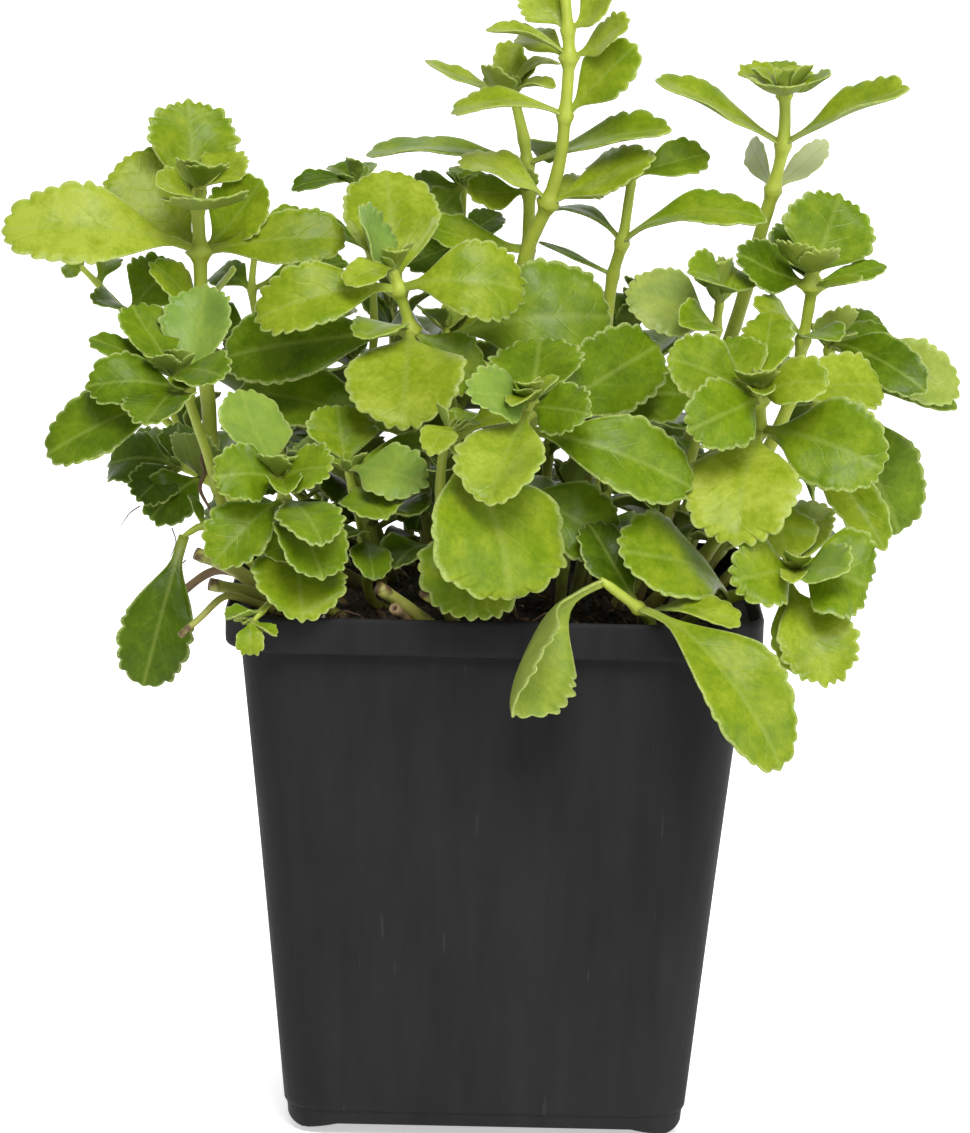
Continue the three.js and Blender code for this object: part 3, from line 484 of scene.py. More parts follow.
# A shoot is its foot's X and Y, its thickness, its leaves' tone from 0 in deep shade to 1 at a young
# lit tip, the places of its stem, and its leaves; the tone is partly the leaves' own colour and partly
# painted light and shade. A place is across and down in points of the picture as seen from the eye,
# then back, which is Y in mm. A leaf is its place on the stem, its tip, width, arch, roll and cup, and
# the share that is kept of one that is shorter.
SHOOTS = {
    "shoot_tall_centre": ((6, 6), 2.9, 0.82, [
        (505, 480, 6), (512, 360, 6), (525, 258, 6), (548, 203, 4), (560, 160, 2), (565, 116, 0),
        (569, 58, 0), (568, 30, 0), (563, -28, 0),
    ], [
        (3, 460, 160, 2, 9.5, 2, 30, 0.2), (3, 650, 156, -2, 10, 0, 42, 0.15),
        (3, 600, 186, 12, 7, 1, 30, 0.1), (5, 634, 46, -4, 9, 0, 75, 0.15),
        (5, 452, 108, -4, 7, 2, 25, 0.2), (6, 626, 20, -6, 7, -1, 50, 0.3),
        (6, 488, 30, -2, 5, 1.5, 10, 0.3), (6, 520, 34, 12, 6, 1, 40, 0.1),
        (7, 528, -20, 2, 9, -1, 60, 0.3), (7, 610, -8, -4, 7.5, -1, 60, 0.3),
        (8, 552, -58, -6, 7, -1, 0, 0.4), (8, 578, -54, 8, 7, -1, 0, 0.4), (8, 545, -44, 7, 6, 0, 0, 0.4),
    ]),
    "shoot_tall_left_of_centre": ((1, 14), 2.8, 0.74, [
        (512, 440, 14), (522, 330, 13), (528, 250, 11), (529, 190, 10), (527, 164, 10), (524, 140, 10),
        (513, 92, 9),
    ], [
        (2, 425, 226, 5, 7, -1, 55, 0.2), (3, 470, 190, 4, 7, -1, 50, 0.2),
        (3, 517, 146, 3, 7, -1, 0, 0.1, 0.5), (4, 667, 124, -4, 7.5, 0.5, 28, 0.35),
        (4, 366, 150, 12, 8.5, 1.5, 18, 0.2), (5, 550, 160, 20, 6, 1, 0, 0.1),
        (6, 426, 60, 12, 5, -1, 10, 0.3), (6, 509, 42, 15, 6, -1, 0, 0.2),
        (6, 490, 66, 2, 6.5, -1, 0, 0.2), (6, 560, 60, 12, 3.5, 2, 5, 0.3),
        (6, 555, 87, 2, 3.5, 1, 20, 0.3),
    ]),
    "shoot_slender_right_of_centre": ((15, 10), 2.6, 0.6, [
        (590, 440, 10), (606, 330, 9), (613, 275, 8), (622, 243, 6), (628, 205, 5), (632, 177, 5),
    ], [
        (3, 545, 208, 16, 5, 2.5, 10, 0.2), (3, 764, 214, -3, 8, 3.5, 32, 0.25),
        (5, 708, 154, 8, 7, 1, 55, 0.2), (5, 592, 160, 14, 6, 1, 40, 0.2),
        (5, 640, 150, 13, 6, 0, 0, 0.2), (2, 540, 240, 18, 2.5, 0, 0, 0),
    ]),
    "shoot_tall_right": ((24, 12), 3, 0.7, [
        (690, 440, 12), (728, 345, 10), (747, 285, 8), (760, 235, 6), (773, 190, 4), (783, 145, 2),
        (785, 108, 0), (784, 90, 0),
    ], [
        (4, 748, 138, 18, 4.5, 0, 60, 0.2), (4, 828, 142, 18, 4.5, 0, 60, 0.2),
        (5, 660, 77, -4, 8, 0.3, 35, 0.3), (5, 905, 88, -8, 8.5, 0.6, 30, 0.35),
        (7, 748, 64, 6, 8.5, -1, 10, 0.3), (7, 776, 60, 12, 9.5, -1, 0, 0.1),
        (7, 800, 66, 6, 7, -1, 10, 0.2), (7, 830, 74, -4, 6, -1, 30, 0.3),
        (7, 757, 80, -8, 6, -1, 10, 0.3), (7, 786, 84, -10, 7, -1, 0, 0.3),
    ]),
    "shoot_upper_left": ((-20, 4), 3.2, 0.74, [
        (225, 500, 4), (208, 400, 4), (202, 320, 4), (200, 252, 4), (198, 205, 5), (200, 186, 5),
    ], [
        (2, 232, 268, -4, 4.5, 0, 50, 0.2), (2, 152, 264, 2, 8, 1, 40, 0.2),
        (3, 2, 230, -6, 15, 4, 55, 0.25), (3, 345, 234, 0, 10.5, 1, 60, 0.2),
        (3, 126, 158, 12, 16.5, -1, 50, 0.15), (3, 262, 180, 4, 12, -2, 60, 0.35),
        (4, 189, 102, 14, 15.5, -2, 0, 0.2), (4, 158, 184, -8, 7, 1, 40, 0.3),
        (5, 208, 196, -13, 14, -3, 0, 0.35), (5, 240, 152, 10, 9.5, -1, 20, 0.2),
        (5, 212, 166, -3, 7, 0, 0, 0.4), (5, 182, 160, 1, 6, 0, 0, 0.4),
    ]),
    "shoot_thin_far_left": ((-28, 14), 1.5, 0.5, [
        (200, 470, 15), (160, 380, 16), (127, 316, 18), (98, 284, 19), (78, 264, 20),
    ], [
        (4, 62, 250, 24, 3, 0, 20, 0.3), (4, 66, 276, 14, 3, 0, 20, 0.3),
        (3, 112, 256, 28, 4.5, 1, 20, 0.3), (2, 96, 300, 8, 6, 1, 30, 0.3),
        (2, 178, 262, 22, 11, 1, 50, 0.3), (1, 104, 372, 24, 9.5, 2, 30, 0.3),
    ]),
    "shoot_behind_left": ((-14, 20), 1.7, 0.4, [
        (270, 460, 21), (262, 350, 22), (252, 290, 22), (256, 244, 23),
    ], [
        (1, 176, 322, 30, 10.5, 2, 30, 0.3), (1, 350, 300, 34, 10.5, 2, 30, 0.3),
        (2, 346, 262, 18, 7, 1, 50, 0.2), (2, 214, 272, 28, 7, 1, 30, 0.2),
        (3, 304, 212, 24, 6, 1, 40, 0.2), (3, 246, 208, 26, 4.5, 0, 10, 0.2),
        (3, 236, 228, 14, 4.5, 0, 10, 0.2), (3, 270, 224, 32, 4.5, 0, 10, 0.2),
    ]),
    "shoot_behind_left_of_centre": ((-6, 22), 1.8, 0.4, [
        (370, 440, 24), (374, 330, 26), (370, 250, 27), (356, 182, 27),
    ], [
        (1, 300, 392, 40, 12, 2, 20, 0.3), (1, 446, 356, 38, 12, 2, 20, 0.3),
        (2, 295, 208, 26, 4.5, 0, 40, 0.3, 0.9), (2, 440, 236, 38, 9.5, 2, 30, 0.3),
        (3, 293, 188, 24, 4.5, 1, 30, 0.3), (3, 330, 166, 32, 4.5, 0, 10, 0.3),
        (3, 352, 158, 24, 3.5, 0, 10, 0.3), (3, 372, 162, 34, 3.5, 0, 10, 0.3),
    ]),
    "shoot_small_behind_centre": ((-4, 30), 1.7, 0.42, [
        (460, 420, 24), (462, 320, 22), (462, 240, 20), (464, 184, 20),
    ], [
        (0, 488, 338, 18, 12, 1, 0, 0.2), (1, 530, 372, 36, 10.5, 2, 20, 0.3),
        (2, 408, 262, 16, 8.5, -1, 40, 0.3), (2, 500, 214, 28, 6, 0, 30, 0.3),
        (3, 416, 180, 16, 6, -1, 40, 0.3), (3, 436, 214, 12, 7, -1, 50, 0.2),
        (3, 477, 168, 22, 3.5, 0, 10, 0.3), (3, 456, 166, 26, 3.5, 0, 10, 0.3),
    ]),
    "shoot_centre_left": ((-9, -4), 2.6, 0.7, [
        (430, 540, -4), (420, 440, -7), (410, 330, -12), (399, 290, -13), (392, 268, -14),
    ], [
        (2, 403, 424, -32, 20, 2, 0, 0.3), (2, 478, 386, -14, 10.5, 1, 50, 0.3),
        (1, 236, 386, 0, 12, 2, 50, 0.2), (1, 322, 404, 2, 11, 1, 30, 0.2),
        (2, 224, 356, -8, 14, 1, 60, 0.25), (2, 362, 336, -26, 8.5, 1, 0, 0.2),
        (3, 526, 290, -16, 14, 4, 60, 0.15), (3, 257, 318, -20, 12, 4, 55, 0.2),
        (3, 387, 168, 4, 16.5, -2, 0, 0.15), (3, 364, 206, -12, 12, -1, 10, 0.15),
        (4, 347, 282, -24, 6, 1, 30, 0.2), (4, 398, 250, -18, 4.5, 0, 0, 0.4),
    ]),
    "shoot_middle": ((-1, -2), 2.2, 0.62, [
        (468, 540, -4), (456, 440, -6), (446, 340, 0), (446, 326, 1),
    ], [
        (2, 612, 316, -3, 20, 4, 62, 0.15), (1, 560, 396, 2, 10.5, 2, 30, 0.3),
        (2, 470, 300, 4, 8.5, -1, 10, 0.3), (3, 424, 306, -14, 4.5, 0, 10, 0.3),
    ]),
    "rosette_left": ((-25, -12), 2.2, 0.58, [
        (236, 530, -14), (206, 450, -20), (186, 392, -24), (178, 374, -25),
    ], [
        (2, 46, 452, -28, 12, 1.5, 55, 0.2), (2, 88, 384, -30, 10.5, 2, 55, 0.2),
        (2, 146, 421, -40, 12, 1, 0, 0.3), (2, 205, 286, -14, 12, -1, 0, 0.55),
        (3, 132, 304, -16, 10.5, -1, 20, 0.3), (3, 222, 376, -36, 9.5, 1, 30, 0.25),
        (3, 90, 338, -20, 6, 0, 40, 0.2), (3, 150, 356, -30, 6, 0, 0, 0.35),
        (3, 174, 350, -28, 4.5, 0, 0, 0.4), (3, 184, 388, -34, 4.5, 0, 0, 0.4),
    ]),
    "shoot_low_left": ((-28, 0), 1.8, 0.3, [
        (228, 496, 0), (204, 478, 0), (180, 466, 0),
    ], [
        (1, 150, 518, -8, 9.5, 2, 40, 0.2), (1, 186, 430, -9, 8.5, -1, 0, 0.3),
        (2, 108, 464, 4, 10.5, 2, 50, 0.2), (2, 138, 500, -8, 8.5, 1, 40, 0.2),
        (2, 178, 424, 6, 7, -1, 0, 0.4), (2, 130, 440, 12, 7, 1, 40, 0.3),
    ]),
    "rosette_front_left": ((-24, -26), 2.2, 0.62, [
        (302, 590, -30), (292, 545, -34), (284, 500, -38), (280, 478, -39),
    ], [
        (1, 302, 618, -49, 15.5, 2, 0, 0.2), (1, 268, 552, -44, 6, 1, 50, 0.2),
        (2, 214, 562, -46, 10.5, 2, 40, 0.25), (2, 322, 577, -52, 13, 1, 0, 0.25),
        (2, 322, 538, -56, 10.5, 1, 0, 0.3), (3, 240, 391, -30, 13, -1, 0, 0.2),
        (3, 216, 476, -46, 10.5, 1, 60, 0.25), (3, 331, 468, -46, 9.5, 1, 60, 0.25),
        (3, 268, 456, -44, 6, 0, 0, 0.45), (3, 292, 456, -42, 6, 0, 0, 0.45),
        (3, 286, 492, -50, 6, 0, 0, 0.45),
    ]),
    "rosette_front_left_inner": ((-16, -18), 2, 0.55, [
        (372, 600, -22), (364, 540, -26), (352, 488, -29), (348, 468, -30),
    ], [
        (1, 374, 578, -38, 7, 1, 0, 0.2), (1, 346, 534, -36, 4.5, 1, 10, 0.2),
        (2, 386, 518, -42, 10.5, 1, 20, 0.25), (3, 337, 405, -22, 12, -1, 0, 0.25),
        (3, 424, 482, -40, 10.5, 1, 50, 0.35), (3, 442, 434, -20, 4.5, 0, 40, 0.3),
        (3, 302, 440, -18, 7, 1, 40, 0.3),
    ]),
    "rosette_centre": ((3, -22), 2.6, 0.62, [
        (500, 560, -26), (506, 490, -30), (520, 430, -36), (530, 408, -38), (533, 398, -39),
    ], [
        (1, 470, 618, -47, 19, 3, 0, 0.15), (1, 614, 545, -36, 13, 2, 50, 0.15),
        (2, 660, 344, -16, 14, 1, 60, 0.15), (2, 691, 486, -40, 13.5, 4, 60, 0.2),
        (3, 489, 501, -58, 14, 1, 0, 0.3), (3, 470, 392, -48, 10.5, 1, 60, 0.2),
        (3, 540, 338, -26, 15.5, -1, 0, 0.3), (3, 588, 414, -48, 9.5, 1, 60, 0.15),
        (4, 524, 382, -44, 4.5, 0, 0, 0.4), (4, 512, 402, -48, 4.5, 0, 0, 0.4),
    ]),
    "shoot_large_front_leaf": ((-6, -28), 2.2, 0.6, [
        (446, 560, -32), (440, 490, -37), (446, 440, -40), (452, 428, -40),
    ], [
        (2, 512, 598, -55, 27, 3, 0, 0.12), (3, 470, 410, -30, 4.5, 0, 10, 0.3),
        (3, 430, 452, -48, 6, 1, 10, 0.3),
    ]),
    "shoot_folded_right_of_centre": ((20, -4), 2.2, 0.55, [
        (676, 500, -6), (706, 400, -7), (716, 330, -9), (720, 300, -9),
    ], [
        (2, 627, 292, -14, 13, 2, 60, 0.1), (1, 606, 402, -14, 13, 2, 50, 0.2),
        (3, 722, 262, -10, 8, 1, 20, 0.4), (3, 690, 272, -18, 9, 2, 50, 0.4),
        (3, 738, 268, -2, 8, 1, 40, 0.4), (2, 682, 322, -22, 7, 1, 40, 0.3),
    ]),
    "rosette_right": ((24, -14), 2.6, 0.72, [
        (716, 540, -16), (744, 470, -20), (760, 430, -24), (759, 400, -28), (757, 390, -29),
    ], [
        (2, 735, 541, -44, 19, 3, 0, 0.2), (2, 883, 468, -36, 15.5, 3, 55, 0.2),
        (2, 814, 492, -18, 10.5, 2, 50, 0.2), (3, 690, 430, -44, 12, 2, 60, 0.15),
        (3, 882, 386, -16, 10.5, 2, 50, 0.2), (3, 828, 382, -36, 9.5, 2, 55, 0.25),
        (3, 668, 358, -36, 12, 1, 60, 0.25), (4, 716, 334, -18, 12, -1, 20, 0.2, 0.9),
        (4, 772, 312, -14, 8.5, -1, 0, 0.1), (4, 749, 372, -36, 6, 0, 0, 0.45),
        (4, 768, 370, -34, 4.5, 0, 0, 0.45), (4, 764, 394, -40, 4.5, 0, 0, 0.45),
    ]),
    "rosette_upper_right": ((30, 0), 2.7, 0.66, [
        (752, 480, 0), (790, 400, 0), (803, 340, -1), (812, 285, -3), (812, 270, -4),
    ], [
        (2, 838, 338, -12, 7, 1, 20, 0.2), (2, 744, 294, -14, 8, 1, 45, 0.2, 0.8),
        (3, 840, 197, 2, 16, -1, 60, 0.15), (3, 796, 222, 8, 12, -1, 0, 0.2),
        (1, 764, 306, -4, 9, -1, 30, 0.2), (3, 733, 250, -8, 10.5, -1, 55, 0.25, 0.9),
        (3, 860, 280, -14, 4.5, 0, 30, 0.2), (3, 886, 266, 2, 4.5, 0, 30, 0.2),
        (4, 790, 242, -10, 9.5, -1, 0, 0.3), (4, 824, 250, -12, 7, -1, 0, 0.3),
        (4, 806, 252, 4, 7, -1, 0, 0.3),
    ]),
    "shoot_far_right": ((34, 6), 2.4, 0.56, [
        (776, 520, 8), (806, 440, 8), (824, 380, 6), (830, 345, 5),
    ], [
        (2, 902, 534, 4, 17, 1, 65, 0.1), (1, 884, 545, -6, 8.5, 2, 40, 0.3),
        (2, 956, 406, 8, 7, 2, 40, 0.3), (3, 958, 392, 0, 10.5, 1, 55, 0.25),
        (3, 924, 388, -12, 9.5, 3, 45, 0.25), (3, 840, 292, -4, 11, -1, 20, 0.15, 0.7),
        (3, 892, 336, 10, 6, 1, 40, 0.2), (3, 880, 316, 14, 6, 0, 40, 0.3),
    ]),
    "rosette_front_right": ((29, -24), 2.2, 0.75, [
        (728, 598, -26), (762, 592, -30), (786, 582, -34), (796, 570, -36),
    ], [
        (0, 622, 552, -44, 16.5, 3, 50, 0.15), (2, 834, 680, -46, 13, 2, 30, 0.25),
        (2, 796, 672, -42, 6, 1, 30, 0.3), (3, 870, 588, -40, 17.5, 3, 55, 0.15),
        (3, 736, 580, -46, 12, 1, 60, 0.15), (3, 774, 504, -26, 12, -1, 0, 0.2),
        (3, 814, 498, -14, 8.5, -1, 10, 0.2), (3, 846, 568, -48, 9.5, 0, 40, 0.45),
        (3, 798, 556, -44, 4.5, 0, 0, 0.45), (3, 792, 580, -46, 4.5, 0, 0, 0.45),
    ]),
    "shoot_over_front_rim": ((20, -34), 2.4, 0.85, [
        (650, 632, -37), (646, 614, -40), (638, 608, -43), (604, 582, -46),
    ], [
        (1, 740, 624, -47, 7, 2, 20, 0.3), (3, 516, 712, -59, 16, -5, 107, 0.3),
        (2, 780, 768, -58, 15, 6, 25, 0.2), (2, 584, 514, -36, 10.5, 0, 30, 0.2, 0.9),
    ]),
    "shoot_hanging_left": ((-32, -12), 1.7, 0.3, [
        (236, 552, -15), (204, 526, -16), (184, 536, -17),
    ], [
        (2, 143, 686, -22, 12, 2, 50, 0.2), (1, 190, 494, -14, 3, 0, 0, 0.3),
    ]),
    "shoot_tiny_over_rim": ((-31, -36), 1.4, 0.6, [
        (275, 604, -40), (262, 611, -46.5), (252, 622, -48),
    ], [
        (1, 226, 618, -50, 4.5, 0, 0, 0.4), (2, 250, 655, -51, 4.5, 1, 0, 0.3),
        (2, 276, 634, -50, 3, 0, 0, 0.3),
    ]),
}
# Leaves that stand out, by the tip's place: their tone, partly painted light and shade, and 1 for a blue
# bloom or -1 for a pale one, whose paleness is partly paler wax and partly a painted sheen.
MARKED_LEAVES = {
    (748, 138): (0.9, -0.9), (828, 142): (0.9, -0.8), (764, 306): (0.9, -0.9), (627, 292): (0.75, -0.3),
    (516, 712): (0.74, -0.2), (584, 514): (0.25, 0), (958, 392): (0.8, -0.25), (924, 388): (0.4, 0),
    (2, 230): (0.95, 0), (612, 316): (0.62, 0.2), (364, 206): (0.62, 0.9), (470, 392): (0.62, 0.6),
    (846, 568): (0.66, 0.5), (240, 391): (0.7, 0.6), (424, 482): (0.72, 0.6), (205, 286): (0.66, 0.7),
    (489, 501): (0.82, 0.2), (735, 541): (0.88, 0), (224, 356): (0.45, 0), (733, 250): (0.35, 0),
    (840, 197): (0.6, 0), (796, 222): (0.3, 0),
}
# Leaves that are folded along the midrib more than their cup in the parts says.
FOLDED_LEAVES = {(516, 712): 0.9, (205, 286): 0.8}


def seen(place):
    """The point in mm at a place across and down the picture, and back from the front."""
    across, down, back = place
    right, below = across - PICTURE[0] / 2, down - PICTURE[1] / 2
    x = (right * math.cos(TILT) + below * math.sin(TILT)) / FOCAL_POINTS
    y = (below * math.cos(TILT) - right * math.sin(TILT)) / FOCAL_POINTS
    ray = np.array((x, math.cos(PITCH) - y * math.sin(PITCH), -math.sin(PITCH) - y * math.cos(PITCH)))
    return EYE + ray * ((back - EYE[1]) / ray[1])


def rooted(foot):
    """The two lowest places of a stem, in the potting mix."""
    x, y = foot
    top = soil_top(x, y)
    return [np.array((x, y, top - ROOT_DEPTH)), np.array((x, y, top - ROOT_DEPTH / 3))]


def smooth_path(places, spacing):
    """A centripetal curve through places, as points about a spacing apart, and each one's share."""
    ends = [2 * places[0] - places[1], *places, 2 * places[-1] - places[-2]]
    points, shares = [], []
    for i in range(1, len(ends) - 2):
        a, b, c, d = ends[i - 1:i + 3]
        k1 = max(1e-6, math.dist(a, b) ** 0.5)
        k2 = k1 + max(1e-6, math.dist(b, c) ** 0.5)
        k3 = k2 + max(1e-6, math.dist(c, d) ** 0.5)
        steps = max(2, round(math.dist(b, c) / spacing))
        for step in range(steps + (i == len(ends) - 3)):
            k = k1 + (k2 - k1) * step / steps
            ab = a + (b - a) * k / k1
            bc = b + (c - b) * (k - k1) / (k2 - k1)
            cd = c + (d - c) * (k - k2) / (k3 - k2)
            abc = ab + (bc - ab) * k / k2
            bcd = bc + (cd - bc) * (k - k1) / (k3 - k1)
            points.append(abc + (bcd - abc) * (k - k1) / (k2 - k1))
            shares.append((i - 1 + step / steps) / (len(places) - 1))
    return np.array(points), np.array(shares)


def stem_tree():
    """Geometry nodes that sweep a round section along a stem's line, as thick as its radius."""
    tree, given = new_group("swept_stem", {"Line": "Geometry", "Sides": "Int"}, "Stem")
    share = add_node(tree, "GeometryNodeSplineParameter").outputs["Factor"]
    marked = add_node(
        tree, "GeometryNodeStoreNamedAttribute",
        {"Geometry": given["Line"], "Name": "share", "Value": share}, data_type="FLOAT",
    )
    section = add_node(tree, "GeometryNodeCurvePrimitiveCircle", {"Resolution": given["Sides"]})
    swept = add_node(tree, "GeometryNodeCurveToMesh", {
        "Curve": marked.outputs["Geometry"], "Profile Curve": section.outputs["Curve"],
        "Scale": add_node(tree, "GeometryNodeInputRadius").outputs[0], "Fill Caps": True,
    })
    add_node(tree, "NodeGroupOutput", {"Stem": swept.outputs["Mesh"]})
    return tree


sweep = stem_tree()


def grow_stem(path, thick, knots, spacing=1.1, sides=10, end=(0.9, 0.5)):
    """Points in mm, faces and shares of a stem that tapers, and swells at its knots."""
    points, shares = smooth_path(path, spacing)
    ahead = points[-1] - points[-2]
    points[-1] += ahead / np.linalg.norm(ahead) * STEM_PAST_LEAVES
    radii = thick / 2 * (1 - STEM_TAPER * shares)
    for knot in knots:
        apart = np.linalg.norm(points - knot, axis=1)
        radii *= 1 + KNOT_SWELL * np.exp(-(apart / KNOT_REACH) ** 2)
    radii *= [1 + 0.09 * noise.noise(tuple(point * 0.35)) for point in points]
    radii[-2:] *= end
    line = bpy.data.curves.new("stem_line", "CURVE")
    line.dimensions = "3D"
    spline = line.splines.new("POLY")
    spline.points.add(len(points) - 1)
    spline.points.foreach_set("co", np.column_stack([points * MM, np.ones(len(points))]).ravel())
    spline.points.foreach_set("radius", radii * MM)
    made = bpy.data.objects.new("stem_line", line)
    bpy.context.scene.collection.objects.link(made)
    run_group(made, sweep, {"Sides": sides})
    result = bpy.data.meshes.new_from_object(
        made.evaluated_get(bpy.context.evaluated_depsgraph_get())
    )
    co = np.empty(len(result.vertices) * 3)
    result.vertices.foreach_get("co", co)
    share = np.empty(len(result.vertices))
    result.attributes["share"].data.foreach_get("value", share)
    faces = [tuple(face.vertices) for face in result.polygons]
    bpy.data.objects.remove(made)
    bpy.data.curves.remove(line)
    bpy.data.meshes.remove(result)
    return co.reshape(-1, 3) / MM, faces, share


def half_outline(length, width, stalk, widest, teeth, depth, fine, chance):
    """One margin of a blade in mm, along and out, and the push of its scallops towards the end."""
    x = np.linspace(0, 1, OUTLINE_STEPS)
    grown = np.clip((x - STALK_SHARE) / (widest - STALK_SHARE), 0, 1)
    half = stalk + (1 - stalk) * (grown * grown * (3 - 2 * grown)) ** 0.9
    end = np.clip((x - widest) / (1 - widest), 0, 1)
    half = half * (1 - end ** 2.6) ** 0.5
    line = np.column_stack([x * length, half * width / 2])
    far = np.concatenate([[0], np.cumsum(np.linalg.norm(np.diff(line, axis=0), axis=1))])
    bare = np.interp(widest - SCALLOPS_BEFORE_WIDEST, x, far)
    stations = np.concatenate([
        np.linspace(0, bare, 10)[:-1], np.linspace(bare, far[-1], fine * teeth + fine // 2 + 1),
    ])
    out = np.column_stack([np.interp(stations, far, line[:, i]) for i in (0, 1)])
    phase = np.clip((stations - bare) / (far[-1] - bare), 0, 1) * (teeth + 0.5)
    phase += 0.16 * np.sin(phase * 2.1 + chance.uniform(0, 6)) * np.clip(teeth + 0.5 - phase, 0, 1)
    phase = np.clip(phase, 0, teeth + 0.5)
    tall = chance.uniform(0.55, 1.35, teeth + 2)[np.floor(phase).astype(int)]
    lobe = np.sin(math.pi * np.modf(phase)[0] ** 1.15) ** 0.65
    lobe[-1] = 1
    along = np.gradient(out, axis=0)
    along /= np.linalg.norm(along, axis=1)[:, None]
    away = np.column_stack([-along[:, 1], along[:, 0]])
    away[-1] = (1, 0)
    size = depth * (tall * lobe - 0.55) * np.clip(phase / 1.5, 0, 1)
    return out, away * size[:, None]


def leaf_skin(leaf, chance, rows, fine):
    """Points in mm, faces, places (across, along, edge) and underside marks of one fleshy leaf."""
    base, tip, width, arch, roll, cup = leaf
    length = math.dist(base, tip)
    axis = (tip - base) / length
    face = np.array((0, 0, 1)) - axis * axis[2]
    face /= np.linalg.norm(face)
    turn = math.radians(-roll if axis[0] < 0 else roll)
    face = face * math.cos(turn) + np.cross(axis, face) * math.sin(turn)
    side = np.cross(face, axis)
    bend = base + (tip - base) * BEND_SHARE + face * 2 * arch
    stalk_width, widest, margin = SMALL_BLADE if length < SMALL_LEAF else LARGE_BLADE
    stalk = min(0.5, stalk_width / width)
    widest += chance.uniform(-0.02, 0.03)
    teeth = int(np.clip(round(width * 0.42 + chance.uniform(0.3, 1.4)), 3, 7))
    depth = min(chance.uniform(0.45, 0.75) + width * 0.01, width * 0.085)
    out, scallop = half_outline(length, width, stalk, widest, teeth, depth, fine, chance)
    count = len(out)
    across = np.abs(np.arange(-rows, rows + 1)) / rows
    sign = np.sign(np.arange(-rows, rows + 1))
    along_out, push_along = out[:, :1], scallop[:, :1]
    x = along_out * (0.94 + 0.06 * across) + push_along * across ** 3
    y = (out[:, 1:] * across + scallop[:, 1:] * across ** 3) * sign
    share = x / length
    near_end = np.clip((1 - share) * 6, 0, 1)
    thick = np.clip(width * 0.065, 0.45, 1.0)
    swell = thick * (1 - across ** 2.4) + margin
    dip = 0.34 * thick * np.exp(-(y / (0.07 * width)) ** 2) * (1 - across ** 2) * near_end
    fold = np.where(sign > 0, *chance.uniform(0.5, 1.5, 2))
    rise = fold * cup * (width / 2) * (np.abs(y) / (width / 2)) ** 1.6
    starts = chance.uniform(0, FULL_TURN, 2)
    wave = chance.uniform(0.03, 0.075) * width * across ** 1.6 * np.sin(
        FULL_TURN * chance.uniform(1.0, 1.9) * share + np.where(sign > 0, *starts)
    )
    wave *= np.clip((share - 0.3) * 3, 0, 1) * near_end
    swag = 0.022 * width * np.sin(share * 7.5 + starts[0]) * np.sin(y / width * 5 + starts[1])
    wave += swag * np.clip((share - 0.2) * 3, 0, 1) * near_end
    droop = -chance.uniform(0, 0.45) * length * np.clip(share - 0.62, 0, 1) ** 2
    twist = y * math.tan(math.radians(chance.uniform(-9, 9))) * share
    height = (rise + wave + droop + twist)[..., None]
    t = share[..., None]
    spine = base * (1 - t) ** 2 + bend * 2 * t * (1 - t) + tip * t ** 2
    along = (bend - base) * (1 - t) + (tip - bend) * t
    along /= np.linalg.norm(along, axis=-1)[..., None]
    above = np.cross(along, side)
    ground = spine + side * y[..., None] + above * height
    upper = ground + above * (swell / 2 - dip)[..., None]
    lower = ground - above * (swell / 2)[..., None]
    columns = 2 * rows + 1
    size = count * columns
    index = np.arange(size).reshape(count, columns)
    index[-1] = index[-1, rows] + np.abs(np.arange(-rows, rows + 1))
    quads = np.stack([index[:-1, :-1], index[1:, :-1], index[1:, 1:], index[:-1, 1:]], axis=-1)
    quads = quads.reshape(-1, 4)
    ks = np.concatenate([np.zeros(columns, int), np.arange(1, count), np.arange(count - 2, 0, -1)])
    js = np.concatenate([
        np.arange(columns), np.full(count - 1, columns - 1), np.zeros(count - 2, int),
    ])
    loop = index[ks, js]
    middle = (upper[ks, js] + lower[ks, js]) / 2
    outward = middle - (upper[ks, rows] + lower[ks, rows]) / 2
    reach = np.linalg.norm(outward, axis=1)[:, None]
    middle += outward / np.maximum(reach, 1e-6) * margin * 0.4 * (reach > 0.2)
    ring = np.arange(len(loop)) + 2 * size
    after = np.roll(np.arange(len(loop)), -1)
    faces = np.concatenate([
        quads, quads[:, ::-1] + size,
        np.column_stack([loop, loop[after], ring[after], ring]),
        np.column_stack([ring, ring[after], loop[after] + size, loop + size]),
    ])
    points = np.concatenate([upper.reshape(-1, 3), lower.reshape(-1, 3), middle])
    place = np.stack([y / (width / 2), share, np.broadcast_to(across, y.shape)], axis=-1)
    places = np.concatenate([place.reshape(-1, 3), place.reshape(-1, 3), place[ks, js]])
    under = np.concatenate([np.zeros(size), np.ones(size), np.full(len(loop), 0.5)])
    used = np.zeros(len(points), bool)
    used[faces.ravel()] = True
    new = np.cumsum(used) - 1
    return points[used], new[faces].tolist(), places[used], under[used]


